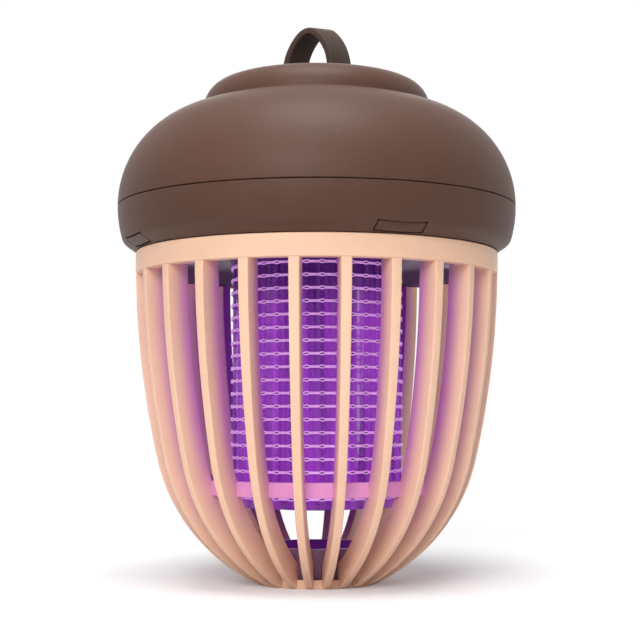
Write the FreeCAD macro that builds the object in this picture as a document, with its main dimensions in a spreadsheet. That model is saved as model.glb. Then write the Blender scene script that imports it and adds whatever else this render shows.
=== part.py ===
import FreeCAD, Part
import math
import os
import re
import Sketcher

# Acorn shaped insect killer lamp: a brown two piece cap with a strap loop, a ribbed cage that
# twists off, and between them a lamp column inside a cylinder of high voltage wires.
# Millimetres. The origin is the middle of the flat base, +Z is up, the strap loop spans X.

doc = FreeCAD.newDocument("insect_killer_lamp")
sheet = doc.addObject("Spreadsheet::Sheet", "sizes")

DIMENSIONS = [
    # cage outline
    ("band_radius", 50.5, "outer radius of the cage at its top band"),
    ("band_top", 91.3, "height of the band's upper edge"),
    ("band_height", 6.0, "height of the band"),
    ("band_wall", 3.9, "wall of the band"),
    ("side_drop", 1.3, "distance from the upper edge to where the side stands upright"),
    ("side_bend", 250.0, "radius of the long side curve"),
    ("shoulder_level", 34.0, "height where the side curve turns into the lower curve"),
    ("foot_radius", 16.8, "radius of the flat base, where the lower curve ends"),
    ("rib_depth", 6.5, "depth of a rib, across the curve"),
    ("rib_width", 2.8, "thickness of a rib at its top"),
    ("rib_foot_width", 2.0, "thickness of a rib at its foot"),
    ("rib_recess", 0.08, "how far the ribs lie inside the face of the band"),
    ("rib_count", 24, "number of ribs"),
    ("base_plate_thick", 2.4, "thickness of the flat base disc"),
    ("hoop_low", 25.1, "height of the lower edge of the inner hoop"),
    ("hoop_height", 3.9, "height of the inner hoop"),
    ("hoop_depth", 1.75, "how far the hoop stands in from the ribs"),
    ("hoop_bite", 1.2, "depth by which the hoop runs into the ribs"),
    # bayonet
    ("neck_gap", 0.4, "running gap between the collar and the band"),
    ("lug_reach", 1.5, "how far a lug stands out from the collar"),
    ("lug_drop", 3.1, "distance of a lug below the band's upper edge"),
    ("lug_thick", 1.6, "thickness of a lug"),
    ("lug_angle", 12.0, "width of a lug as an angle"),
    ("lug_count", 4, "number of lugs"),
    ("lug_gap", 0.3, "gap above, below and outside a lug"),
    ("lug_side_gap", 0.8, "angle left free beside a lug"),
    ("twist_angle", 18.0, "turn between locked and free"),
    # cap
    ("cap_wall", 2.2, "wall of the cap"),
    ("lip_out", 0.0, "how far the skirt's lower lip stands out from the band"),
    ("seat_gap", 0.2, "gap between the band and the lip"),
    ("turn_out", 3.5, "how far the turn into the skirt stands out from the lip"),
    ("turn_rise", 2.4, "height of that turn over the lip"),
    ("bulge_out", 1.6, "how far the skirt bulges out above the turn"),
    ("skirt_bend", 33.0, "radius of the skirt's bulge"),
    ("floor_wide", 6.5, "width of the skirt's floor"),
    ("floor_thick", 1.3, "thickness of the skirt's floor"),
    ("skirt_height", 10.2, "height of the skirt above the turn"),
    ("parting_gap", 0.35, "open width of that line"),
    ("lip_height", 1.9, "height of the tongue that centres the dome"),
    ("tongue_inset", 1.0, "distance of the tongue from the outside"),
    ("tongue_gap", 0.2, "gap outside the tongue"),
    ("dome_bend", 28.5, "radius of the dome's shoulder"),
    ("collar_step", 23.7, "distance of the crease round the collar from the cap's outside"),
    ("collar_rise", 9.11, "height of the collar above the crease"),
    ("collar_bend", 7.5, "rounding of the collar"),
    ("collar_round_wide", 7.0, "width of the collar's rounded edge"),
    ("crown_rise", 1.54, "how much the flat top is crowned"),
    ("top_wall", 2.5, "thickness of the top"),
    ("boss_radius", 3.5, "radius of a screw boss"),
    ("boss_rise", 58.0, "angle up the dome at which the bosses' ledge starts"),
    ("boss_margin", 0.5, "width of the ledge inside a boss"),
    ("boss_inset", 9.6, "distance of the screws from the bore of the band"),
    ("boss_turn", 45.0, "angle of the first screw"),
    ("screw_count", 4, "number of screws"),
    ("screw_shank", 1.45, "radius of a screw's shank"),
    ("screw_head", 2.8, "radius of a screw's head"),
    ("screw_head_thick", 1.6, "thickness of a screw's head"),
    ("screw_length", 12.0, "length of a screw under its head"),
    ("screw_fit", 0.05, "gap round a shank in its boss"),
    ("screw_pass", 0.3, "gap round a shank in the ceiling"),
    # strap loop
    ("strap_wide", 9.6, "width of the strap"),
    ("strap_thick", 2.0, "thickness of the strap"),
    ("loop_rise", 15.3, "height of the loop over the flat top"),
    ("loop_round", 3.0, "outer radius at the top of the loop"),
    ("loop_round_angle", 29.0, "half angle of that round"),
    ("loop_leg_bend", 13.8, "outer radius of the legs"),
    ("strap_gap", 0.3, "gap round the strap in its slot"),
    ("stop_reach", 1.6, "how far the strap's end stop stands out"),
    ("stop_thick", 2.0, "height of the end stop"),
    # skirt openings for the charging port and the button
    ("port_angle", -30.0, "direction of the charging port"),
    ("button_angle", -120.0, "direction of the power button"),
    ("skirt_skin", 2.0, "thickness of the skirt's underside"),
    ("window_low", 0.3, "start of a window, up the slanted underside"),
    ("window_end", 0.25, "distance of a window's end from the turn"),
    ("window_wide", 13.6, "width of a window"),
    ("window_gap", 0.25, "gap round a cover or button in its window"),
    ("window_deep", 3.6, "depth of a window's cut"),
    ("cradle_low", 3.9, "depth at which a cradle starts"),
    ("cradle_high", 7.4, "depth at which a cradle ends"),
    ("cradle_start", -0.4, "lower end of a cradle along the underside"),
    ("cradle_wide", 15.0, "width of a cradle"),
    ("cradle_fit", 0.1, "gap round the port and the switch in a cradle"),
    ("back_reach", 0.5, "how far a back flange stands out"),
    ("back_thick", 0.8, "thickness of a back flange"),
    # charging port and cover
    ("port_thick", 3.2, "outer thickness of the port"),
    ("port_wide", 8.9, "outer width of the port"),
    ("port_mouth", 2.6, "depth of the port's mouth"),
    ("port_end", 9.4, "depth of the port's back"),
    ("port_wall", 0.3, "wall of the port's shell"),
    ("port_socket", 5.5, "depth of the socket"),
    ("tongue_thick", 0.7, "thickness of the contact tongue"),
    ("tongue_wide", 6.6, "width of the contact tongue"),
    ("tongue_start", 1.0, "distance of the tongue from the mouth"),
    ("cover_thick", 1.5, "thickness of the port cover"),
    ("barrel_radius", 0.8, "radius of the cover's hinge barrel"),
    ("hinge_deep", 0.9, "depth of the hinge pin"),
    ("pin_radius", 0.35, "radius of the hinge pin"),
    ("pin_fit", 0.05, "gap round the hinge pin"),
    ("pin_reach", 0.8, "length of a hinge pin"),
    # power button and switch
    ("button_thick", 3.1, "depth of the button's back"),
    ("shoulder_deep", 2.3, "depth of the button's shoulder"),
    ("shoulder_reach", 0.6, "how far the shoulder stands out"),
    ("button_travel", 0.6, "travel of the button"),
    ("plunger_gap", 0.05, "gap left when the button is pressed"),
    ("plunger_radius", 1.2, "radius of the switch's plunger"),
    ("switch_thick", 3.0, "thickness of the switch"),
    ("switch_wide", 6.0, "width of the switch"),
    ("switch_front", 4.2, "depth of the switch's front"),
    # ceiling and inner parts of the cap
    ("ceiling_thick", 2.0, "thickness of the ceiling"),
    ("collar_below", 0.8, "how far the collar reaches below the lugs"),
    ("collar_wall", 2.0, "wall of the collar"),
    ("post_inset", 7.0, "distance of the board posts from the circle of screws"),
    ("post_radius", 3.0, "radius of a board post"),
    ("post_count", 4, "number of board posts"),
    ("post_height", 11.7, "height of a board post"),
    ("board_thick", 1.6, "thickness of the circuit board"),
    ("board_rim", 5.0, "width of the circuit board outside the circle of screws"),
    ("board_hole_gap", 0.4, "gap round a boss in the board"),
    ("cell_radius", 9.2, "radius of the battery cell"),
    ("cell_length", 65.0, "length of the battery cell"),
    ("cell_gap", 0.2, "gap at each end of the cell"),
    ("cradle_floor", 1.5, "floor of the battery cradle"),
    ("cradle_end_wall", 1.6, "end wall of the battery cradle"),
    ("cradle_end_high", 13.0, "height of that end wall"),
    ("cradle_broad", 20.0, "width of the battery cradle"),
    ("coil_long", 16.0, "length of the transformer"),
    ("coil_broad", 13.0, "width of the transformer"),
    ("coil_high", 12.0, "height of the transformer"),
    ("coil_place", 21.0, "distance of the transformer from the axis"),
    ("capacitor_radius", 4.0, "radius of the capacitor"),
    ("capacitor_high", 14.0, "height of the capacitor"),
    ("capacitor_place", 21.0, "distance of the capacitor from the axis"),
    # lamp
    ("tube_radius", 11.0, "outer radius of the lamp tube"),
    ("tube_wall", 1.2, "wall of the lamp tube"),
    ("tube_seat", 1.4, "floor of the end cap under the tube"),
    ("tube_top_seat", 1.5, "roof of the socket over the tube"),
    ("tube_fit", 0.1, "gap round the tube in its holders"),
    ("socket_height", 5.5, "height of the lamp socket"),
    ("socket_wall", 2.4, "wall of the lamp socket"),
    ("cap_low", 20.6, "height of the end cap's underside"),
    ("end_cap_height", 5.4, "height of the end cap"),
    ("end_cap_wall", 1.2, "wall of the end cap"),
    ("flange_wide", 1.3, "width of the end cap's flange"),
    ("flange_thick", 0.8, "thickness of the end cap's flange"),
    ("strip_wide", 8.0, "width of the light strip's board"),
    ("strip_thick", 1.2, "thickness of the light strip's board"),
    ("light_count", 7, "number of lights on each side"),
    ("light_size", 3.0, "side of one light"),
    ("light_thick", 0.8, "thickness of one light"),
    ("light_start", 9.0, "distance of the lowest light's middle from the tube's lower end"),
    ("light_end", 7.8, "distance of the highest light's middle from the tube's upper end"),
    # wire grid
    ("bar_count", 36, "number of bars round the grid's drum"),
    ("bar_width", 0.8, "width of a bar"),
    ("bar_depth", 1.2, "depth of a bar with the drum's wall under it"),
    ("drum_wall", 0.6, "wall of the drum between the bars"),
    ("wire_bend_radius", 23.5, "radius at which a wire lies on a bar"),
    ("wire_thick", 0.6, "thickness of a wire"),
    ("row_start", 0.7, "distance of the lowest wire from the lower ring"),
    ("row_end", 0.68, "distance of the highest wire from the top ring"),
    ("row_count", 19, "number of wires"),
    ("grid_top_thick", 1.9, "thickness of the grid's top ring"),
    ("grid_ring_gap", 0.2, "gap between a feed strip and the top ring"),
    ("grid_ring_over", 0.7, "how far the end rings stand out from the bars"),
    ("grid_low_thick", 2.0, "thickness of the grid's lower ring"),
    ("feed_back", 1.4, "distance of a feed strip's inner face behind the drum's wall"),
    ("feed_thick", 0.5, "thickness of a feed strip"),
    ("feed_wide", 1.5, "width of a feed strip"),
    ("feed_above", 2.0, "how far a feed strip stands over the ceiling"),
    ("feed_gap", 0.3, "gap round a feed strip in the ceiling and round its fingers in the drum"),
    ("live_turn", 125.0, "direction of the live feed strip"),
    ("earth_turn", 95.0, "direction of the earth feed strip"),
    # tray
    ("tray_gap", 0.5, "gap between the tray and the feet of the ribs"),
    ("tray_height", 8.1, "height of the tray"),
    ("tray_wall", 1.2, "wall of the tray"),
]

# Words that stand for an expression, so that each piece follows the pieces it sits on.
DERIVED = {
    # cage: the side curve is about side_x, the lower curve about shoulder_x and shoulder_z
    "band_low": "band_top - band_height",
    "side_level": "band_top - side_drop",
    "side_x": "band_radius - side_bend",
    "corner_x": "side_x + sqrt(side_bend^2 - (side_level - shoulder_level)^2)",
    "shoulder_bend": "((foot_radius - corner_x)^2 + shoulder_level^2) * side_bend / 2 / ("
                     "(foot_radius - corner_x) * (side_x - corner_x)"
                     " - shoulder_level * (side_level - shoulder_level))",
    "shoulder_x": "corner_x + (side_x - corner_x) * shoulder_bend / side_bend",
    "shoulder_z": "shoulder_level + (side_level - shoulder_level) * shoulder_bend / side_bend",
    "hoop_high": "hoop_low + hoop_height",
    "neck_bore": "band_radius - band_wall",
    "collar_edge": "neck_bore - neck_gap",
    "lug_high": "band_top - lug_drop",
    "lug_low": "lug_high - lug_thick",
    # cap
    "lip_radius": "band_radius + lip_out",
    "lip_level": "band_top + seat_gap",
    "turn_radius": "lip_radius + turn_out",
    "turn_level": "lip_level + turn_rise",
    "cap_radius": "turn_radius + bulge_out",
    "parting_level": "turn_level + skirt_height",
    "floor_bore": "lip_radius - floor_wide",
    "skirt_wall_radius": "cap_radius - cap_wall",
    "tongue_edge": "cap_radius - tongue_inset",
    "tongue_top": "parting_level + lip_height",
    "dome_x": "cap_radius - dome_bend",
    "inner_bend": "dome_bend - cap_wall",
    "collar_radius": "cap_radius - collar_step",
    "collar_flat": "collar_radius - collar_round_wide",
    "crown_bend": "(collar_flat^2 + crown_rise^2) / (2 * crown_rise)",
    "crease_level": "parting_level + sqrt(dome_bend^2 - (collar_radius - dome_x)^2)",
    "top_level": "crease_level + collar_rise",
    "top_under": "top_level - top_wall",
    "boss_circle": "neck_bore - boss_inset",
    "boss_reach": "parting_level + inner_bend * sin(boss_rise)",
    # strap: its outer face is an arc over the top and a flatter arc down each leg
    "loop_top": "top_level + loop_rise",
    "round_x": "loop_round * sin(loop_round_angle)",
    "round_z": "loop_top - loop_round + loop_round * cos(loop_round_angle)",
    "leg_x": "round_x - loop_leg_bend * sin(loop_round_angle)",
    "leg_z": "round_z - loop_leg_bend * cos(loop_round_angle)",
    # the slanted underside of the skirt and what sits behind it
    "slope_length": "sqrt(turn_out^2 + turn_rise^2)",
    "window_high": "slope_length - window_end",
    "hinge_along": "window_high - window_gap - barrel_radius",
    "inlet_middle": "(window_low + window_high) / 2",
    "cradle_end": "((skirt_wall_radius + cap_wall / 2 - lip_radius) * slope_length"
                  " + cradle_low * turn_rise) / turn_out",
    # inside the cap
    "ceiling_low": "lip_level - ceiling_thick",
    "collar_low": "lug_low - collar_below",
    "post_circle": "boss_circle - post_inset",
    "board_level": "lip_level + post_height",
    "board_top": "board_level + board_thick",
    "board_radius": "boss_circle + board_rim",
    "cell_reach": "cell_length / 2 + cell_gap",
    # lamp and grid
    "tube_low": "cap_low + tube_seat",
    "tube_high": "ceiling_low - tube_top_seat",
    "tube_seat_radius": "tube_radius + tube_fit",
    "socket_low": "ceiling_low - socket_height",
    "socket_radius": "tube_seat_radius + socket_wall",
    "end_cap_high": "cap_low + end_cap_height",
    "end_cap_radius": "tube_seat_radius + end_cap_wall",
    "end_cap_flange": "end_cap_radius + flange_wide",
    "light_low": "tube_low + light_start",
    "light_pitch": "(tube_high - light_end - light_low) / (light_count - 1)",
    "bar_inner": "wire_bend_radius - bar_depth",
    "drum_radius": "bar_inner + drum_wall",
    "grid_low": "cap_low + flange_thick",
    "grid_low_top": "grid_low + grid_low_thick",
    "grid_top_low": "ceiling_low - grid_top_thick",
    "grid_ring_radius": "wire_bend_radius + grid_ring_over",
    "grid_ring_bore": "feed_outer + grid_ring_gap",
    "row_low": "grid_low_top + row_start",
    "row_pitch": "(grid_top_low - row_end - row_low) / (row_count - 1)",
    "feed_inner": "bar_inner - feed_back",
    "feed_outer": "feed_inner + feed_thick",
    "feed_low": "row_low - wire_thick / 2",
    "feed_high": "lip_level + feed_above",
    "tray_high": "base_plate_thick + tray_height",
}
ALIASES = {alias for alias, value, meaning in DIMENSIONS}

for row, (alias, value, meaning) in enumerate(DIMENSIONS, start=1):
    sheet.set("A%d" % row, meaning)
    sheet.set("B%d" % row, str(value))
    sheet.setAlias("B%d" % row, alias)
doc.recompute()

UPRIGHT = FreeCAD.Vector(0, 0, 1)
ORIGIN = FreeCAD.Vector(0, 0, 0)


def worth(expression):
    """The number that an expression on the sheet stands for."""
    value = sheet.evalExpression(expression)
    return float(getattr(value, "Value", value))


def full_word(match):
    word = match.group()
    if word in DERIVED:
        return "(%s)" % named(DERIVED[word])
    return "sizes." + word if word in ALIASES else word


def named(expression):
    """Puts the sheet's name before each of its aliases and writes out each derived word."""
    return re.sub(r"[a-z]\w*", full_word, expression)


def origin_plane(body, role):
    return [part for part in body.Origin.OriginFeatures if part.Role == role][0]


def place_sketch(body, name, role, level=None, turn=None):
    """An empty sketch on an origin plane, lifted to a level or turned about the upright axis."""
    sketch = body.newObject("Sketcher::SketchObject", name)
    sketch.AttachmentSupport = [(origin_plane(body, role), "")]
    sketch.MapMode = "FlatFace"
    if turn is not None:
        axis = FreeCAD.Vector(0, 1, 0) if role == "XZ_Plane" else UPRIGHT
        sketch.AttachmentOffset = FreeCAD.Placement(ORIGIN, FreeCAD.Rotation(axis, worth(named(turn))))
        sketch.setExpression("AttachmentOffset.Rotation.Angle", named(turn))
    if level is not None:
        sketch.setExpression("AttachmentOffset.Base.z", named(level))
    return sketch


def fix_point(sketch, geometry, end, x, y):
    """Holds one end of a line or arc at two expressions."""
    for kind, expression in (("DistanceX", x), ("DistanceY", y)):
        value = worth(expression)
        index = sketch.addConstraint(Sketcher.Constraint(kind, -1, 1, geometry, end, value))
        sketch.setExpression("Constraints[%d]" % index, expression)


def arc_between(start, finish, radius):
    """An arc from start to finish; it bulges to the right of that way if the radius is positive."""
    chord = finish - start
    side = FreeCAD.Vector(chord.y, -chord.x, 0)
    side.normalize()
    half = chord.Length / 2
    rise = abs(radius) - math.sqrt(radius * radius - half * half)
    middle = start + chord * 0.5 + side * math.copysign(rise, radius)
    return Part.Arc(start, middle, finish)


def outline(body, name, role, path, arcs=None, level=None, turn=None):
    """A closed sketch through the points of a path; arcs gives the radius after a point."""
    sketch = place_sketch(body, name, role, level, turn)
    arcs = {key: named(radius) for key, radius in (arcs or {}).items()}
    path = [(named(x), named(y)) for x, y in path]
    points = [FreeCAD.Vector(worth(x), worth(y), 0) for x, y in path]
    ends = []
    for number, start in enumerate(points):
        finish = points[(number + 1) % len(points)]
        if number not in arcs:
            geometry = sketch.addGeometry(Part.LineSegment(start, finish))
            ends.append((geometry, 1, 2))
            continue
        radius = worth(arcs[number])
        geometry = sketch.addGeometry(arc_between(start, finish, radius))
        forward = sketch.getPoint(geometry, 1).isEqual(start, 1e-5)
        ends.append((geometry, 1, 2) if forward else (geometry, 2, 1))
        index = sketch.addConstraint(Sketcher.Constraint("Radius", geometry, abs(radius)))
        sketch.setExpression("Constraints[%d]" % index, "abs(%s)" % arcs[number])
    for number, (geometry, first, last) in enumerate(ends):
        after = ends[(number + 1) % len(ends)]
        sketch.addConstraint(Sketcher.Constraint("Coincident", geometry, last, after[0], after[1]))
        fix_point(sketch, geometry, first, *path[number])
    return sketch


def rectangle(body, name, role, left, right, low, high, level=None, turn=None):
    path = [(left, low), (right, low), (right, high), (left, high)]
    return outline(body, name, role, path, None, level, turn)


def circles(body, name, role, places, radius, level=None, turn=None):
    """A sketch of equal circles at a list of places."""
    sketch = place_sketch(body, name, role, level, turn)
    radius = named(radius)
    for x, y in places:
        x = named(x)
        y = named(y)
        middle = FreeCAD.Vector(worth(x), worth(y), 0)
        geometry = sketch.addGeometry(Part.Circle(middle, UPRIGHT, worth(radius)))
        index = sketch.addConstraint(Sketcher.Constraint("Radius", geometry, worth(radius)))
        sketch.setExpression("Constraints[%d]" % index, radius)
        fix_point(sketch, geometry, 3, x, y)
    return sketch


def revolve(body, name, sketch, angle=None, kind="Revolution"):
    """Turns a sketch about the upright axis, all round or evenly to both sides by an angle."""
    feature = body.newObject("PartDesign::" + kind, name)
    feature.Profile = sketch
    feature.ReferenceAxis = (sketch, ["V_Axis"])
    if angle is None:
        feature.Angle = 360
    else:
        feature.Midplane = True
        feature.setExpression("Angle", named(angle))
    doc.recompute()
    return feature


def extrude(body, name, sketch, length, kind="Pad", reverse=False, both=False, taper=None):
    """Pads or pockets a sketch by a length."""
    feature = body.newObject("PartDesign::" + kind, name)
    feature.Profile = sketch
    feature.Midplane = both
    feature.Reversed = reverse
    feature.setExpression("Length", named(length))
    if taper is not None:
        feature.setExpression("TaperAngle", named(taper))
    doc.recompute()
    return feature


def around(body, name, originals, count):
    """Repeats features evenly about the upright axis."""
    pattern = body.newObject("PartDesign::PolarPattern", name)
    pattern.Originals = originals
    pattern.Axis = (origin_plane(body, "Z_Axis"), [""])
    pattern.Angle = 360
    pattern.setExpression("Occurrences", named(count))
    body.Tip = pattern
    doc.recompute()
    return pattern


def new_body(label):
    body = doc.addObject("PartDesign::Body", label)
    body.Label = label
    return body


def turn_body(body, angle):
    """Turns a finished body about the upright axis to its direction."""
    body.Placement = FreeCAD.Placement(ORIGIN, FreeCAD.Rotation(UPRIGHT, worth(named(angle))))
    body.setExpression("Placement.Rotation.Angle", named(angle))


def primitive(kind, name, sizes, x="0", y="0", z="0"):
    """A Part primitive whose sizes and place are bound to the sheet."""
    item = doc.addObject("Part::" + kind, name)
    for key, expression in sizes.items():
        item.setExpression(key, named(expression))
    for key, expression in (("x", x), ("y", y), ("z", z)):
        item.setExpression("Placement.Base." + key, named(expression))
    return item


def combine(kind, label, base, tool):
    item = doc.addObject("Part::" + kind, label)
    item.Base = base
    item.Tool = tool
    item.Label = label
    return item


def group(label, items):
    """Equal loose pieces that share one node."""
    item = doc.addObject("Part::Compound", label)
    item.Links = items
    item.Label = label
    return item


def slant(along, deep):
    """The radius and height of a place beside the skirt's slanted underside, given by its distance
    from the lip along the slope and its depth behind the outer face."""
    x = "lip_radius + ((%s) * turn_out - (%s) * turn_rise) / slope_length" % (along, deep)
    z = "lip_level + ((%s) * turn_rise + (%s) * turn_out) / slope_length" % (along, deep)
    return x, z


def slant_box(body, name, start, finish, low, high, turn=None):
    path = [slant(start, low), slant(finish, low), slant(finish, high), slant(start, high)]
    return outline(body, name, "XZ_Plane", path, None, None, turn)


def side_radius(depth, level):
    """Radius of the side curve, a depth inside the outline, at a level."""
    return "side_x + sqrt((side_bend - %s)^2 - (side_level - %s)^2)" % (depth, level)


def lower_radius(depth, level):
    """Radius of the lower curve, a depth inside the outline, at a level."""
    return "shoulder_x + sqrt((shoulder_bend - %s)^2 - (shoulder_z - %s)^2)" % (depth, level)


def make_cage():
    """One moulding: a band, ribs that run down to a flat base disc, and an inner hoop."""
    body = new_body("cage")
    inner_foot = "shoulder_z - sqrt((shoulder_bend - rib_depth)^2 - (foot_radius - shoulder_x)^2)"
    root = "foot_radius - rib_width"
    path = [
        (side_radius("rib_depth", "band_low"), "band_low"),
        ("corner_x + (side_x - corner_x) * rib_depth / side_bend",
         "shoulder_level + (side_level - shoulder_level) * rib_depth / side_bend"),
        ("foot_radius", inner_foot),
        ("foot_radius", "base_plate_thick"),
        (root, "base_plate_thick"),
        (root, "0"),
        ("shoulder_x + sqrt((shoulder_bend - rib_recess)^2 - shoulder_z^2)", "0"),
        ("corner_x + (side_x - corner_x) * rib_recess / side_bend",
         "shoulder_level + (side_level - shoulder_level) * rib_recess / side_bend"),
        (side_radius("rib_recess", "band_low"), "band_low"),
    ]
    arcs = {
        0: "-(side_bend - rib_depth)",
        1: "-(shoulder_bend - rib_depth)",
        6: "shoulder_bend - rib_recess",
        7: "side_bend - rib_recess",
    }
    plate = outline(body, "rib_section", "XZ_Plane", path, arcs)
    features = [extrude(body, "rib", plate, "rib_width", "Pad", False, True)]
    for name, side in (("left", "-"), ("right", "")):
        wedge = outline(body, "taper_section_" + name, "YZ_Plane", [
            (side + "(rib_width / 2)", "band_low"),
            (side + "(rib_foot_width / 2)", "0"),
            (side + "rib_foot_width", "-1"),
            (side + "rib_foot_width", "band_low"),
        ])
        before = body.Shape.Volume
        features.append(extrude(body, "taper_" + name, wedge, "band_radius + 5", "Pocket", True))
        if body.Shape.Volume >= before:
            raise RuntimeError("the taper cut nothing")
    around(body, "ribs", features, "rib_count")
    disc = circles(body, "disc_section", "XY_Plane", [("0", "0")], "foot_radius", "0")
    body.Tip = extrude(body, "base_disc", disc, "base_plate_thick")
    band = outline(body, "band_section", "XZ_Plane", [
        ("neck_bore", "band_low"),
        (side_radius("0", "band_low"), "band_low"),
        ("band_radius", "side_level"),
        ("band_radius", "band_top"),
        ("neck_bore", "band_top"),
    ])
    body.Tip = revolve(body, "band", band)
    ribs_at_hoop = lower_radius("rib_depth", "(hoop_low + hoop_high) / 2")
    hoop = rectangle(body, "hoop_section", "XZ_Plane", ribs_at_hoop + " - hoop_depth",
                     ribs_at_hoop + " + hoop_bite", "hoop_low", "hoop_high")
    body.Tip = revolve(body, "hoop", hoop)
    # the bayonet: each lug enters by a slot from above and turns along a channel to its lock
    lug_edge = "collar_edge + lug_reach + lug_gap"
    free = "(lug_angle + 2 * lug_side_gap)"
    channel = rectangle(body, "channel_section", "XZ_Plane", "neck_bore - 1", lug_edge,
                        "lug_low - lug_gap", "lug_high + lug_gap", None, "-twist_angle / 2")
    entry = rectangle(body, "entry_section", "XZ_Plane", "neck_bore - 1", lug_edge,
                      "lug_low - lug_gap", "band_top + 1", None, "-twist_angle")
    channel_cut = revolve(body, "channel", channel, "%s + twist_angle" % free, "Groove")
    entry_cut = revolve(body, "entry", entry, free, "Groove")
    around(body, "bayonet", [channel_cut, entry_cut], "lug_count")
    return body


def make_tray():
    body = new_body("collecting_tray")
    edge = "foot_radius - tray_gap"
    path = [
        ("0", "base_plate_thick"),
        (edge, "base_plate_thick"),
        (edge, "tray_high"),
        (edge + " - tray_wall", "tray_high"),
        (edge + " - tray_wall", "base_plate_thick + tray_wall"),
        ("0", "base_plate_thick + tray_wall"),
    ]
    revolve(body, "tray_dish", outline(body, "tray_section", "XZ_Plane", path))
    return body


def make_skirt():
    """The lower ring of the cap, with windows and cradles for the port and the button."""
    body = new_body("cap_skirt")
    inner_x, inner_z = slant("slope_length", "skirt_skin")
    floor_along = "(floor_thick * slope_length - skirt_skin * turn_out) / turn_rise"
    path = [
        ("floor_bore", "lip_level"),
        ("lip_radius", "lip_level"),
        ("turn_radius", "turn_level"),
        ("cap_radius", "parting_level - parting_gap"),
        ("tongue_edge", "parting_level - parting_gap"),
        ("tongue_edge", "tongue_top"),
        ("skirt_wall_radius", "tongue_top"),
        ("skirt_wall_radius", "%s + cap_wall" % inner_z),
        (inner_x, inner_z),
        slant(floor_along, "skirt_skin"),
        ("floor_bore", "lip_level + floor_thick"),
    ]
    revolve(body, "skirt_shell", outline(body, "skirt_section", "XZ_Plane", path, {2: "skirt_bend"}))
    for place, angle in (("port", "port_angle"), ("button", "button_angle")):
        window = slant_box(body, place + "_window_section", "window_low", "window_high",
                           "-3", "window_deep", angle)
        extrude(body, place + "_window", window, "window_wide", "Pocket", False, True)
        block = slant_box(body, place + "_cradle_section", "cradle_start", "cradle_end",
                          "cradle_low", "cradle_high", angle)
        extrude(body, place + "_cradle", block, "cradle_wide", "Pad", False, True)
        thick = "(port_thick / 2 + cradle_fit)" if place == "port" else "(switch_thick / 2 + cradle_fit)"
        wide = "port_wide + 2 * cradle_fit" if place == "port" else "switch_wide + 2 * cradle_fit"
        hole = slant_box(body, place + "_hole_section", "inlet_middle - " + thick,
                         "inlet_middle + " + thick, "cradle_low - 1", "cradle_high + 1", angle)
        extrude(body, place + "_hole", hole, wide, "Pocket", False, True)
    pins = circles(body, "hinge_bore_section", "XZ_Plane", [slant("hinge_along", "hinge_deep")],
                   "pin_radius + pin_fit", None, "port_angle")
    extrude(body, "hinge_bores", pins, "window_wide + 2 * (pin_reach + window_gap)", "Pocket", False, True)
    return body


def trim_to_skirt(body):
    """Cuts a body back to the skirt's round underside."""
    path = [slant("-3", "0"), slant("7", "0"), slant("7", "-3"), slant("-3", "-3")]
    before = body.Shape.Volume
    revolve(body, body.Name + "_trim", outline(body, body.Name + "_trim_section", "XZ_Plane", path),
            None, "Groove")
    if body.Shape.Volume >= before:
        raise RuntimeError("the trim cut nothing")


def make_port_cover():
    """A flap that fills its window and swings out on two small pins."""
    body = new_body("port_cover")
    start = "window_low + window_gap"
    path = [
        slant(start, "-0.6"),
        slant("hinge_along", "-0.6"),
        slant("hinge_along", "hinge_deep - barrel_radius"),
        slant("hinge_along", "hinge_deep + barrel_radius"),
        slant("hinge_along - barrel_radius / 2", "cover_thick"),
        slant(start, "cover_thick"),
    ]
    flap = outline(body, "flap_section", "XZ_Plane", path, {2: "barrel_radius * 1.000001"})
    extrude(body, "flap", flap, "window_wide - 2 * window_gap", "Pad", False, True)
    trim_to_skirt(body)
    pins = circles(body, "pin_section", "XZ_Plane", [slant("hinge_along", "hinge_deep")], "pin_radius")
    extrude(body, "pins", pins, "window_wide - 2 * window_gap + 2 * pin_reach", "Pad", False, True)
    turn_body(body, "port_angle")
    return body


def make_port():
    """The charging socket: a thin metal shell with a contact tongue and a back flange."""
    body = new_body("charging_port")
    half = "(port_thick / 2)"
    shell = slant_box(body, "port_section", "inlet_middle - " + half, "inlet_middle + " + half,
                      "port_mouth", "port_end")
    extrude(body, "port_shell", shell, "port_wide", "Pad", False, True)
    back = slant_box(body, "port_back_section", "inlet_middle - %s - back_reach" % half,
                     "inlet_middle + %s + back_reach" % half, "cradle_high", "cradle_high + back_thick")
    extrude(body, "port_back", back, "port_wide + 2 * back_reach", "Pad", False, True)
    inside = "(port_thick / 2 - port_wall)"
    socket = slant_box(body, "socket_section", "inlet_middle - " + inside, "inlet_middle + " + inside,
                       "port_mouth - 1", "port_mouth + port_socket")
    extrude(body, "socket", socket, "port_wide - 2 * port_wall", "Pocket", False, True)
    tongue = slant_box(body, "contact_section", "inlet_middle - tongue_thick / 2",
                       "inlet_middle + tongue_thick / 2", "port_mouth + tongue_start",
                       "port_mouth + port_socket + 0.5")
    extrude(body, "contact_tongue", tongue, "tongue_wide", "Pad", False, True)
    turn_body(body, "port_angle")
    return body


def make_button():
    """A key that follows the skirt outside and is held by a shoulder inside."""
    body = new_body("power_button")
    key = slant_box(body, "key_section", "window_low + window_gap", "window_high - window_gap",
                    "-0.6", "button_thick")
    extrude(body, "key", key, "window_wide - 2 * window_gap", "Pad", False, True)
    trim_to_skirt(body)
    shoulder = slant_box(body, "shoulder_section", "window_low - shoulder_reach",
                         "window_high - window_gap", "shoulder_deep", "button_thick")
    extrude(body, "shoulder", shoulder, "window_wide + shoulder_reach", "Pad", False, True)
    turn_body(body, "button_angle")
    return body


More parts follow.
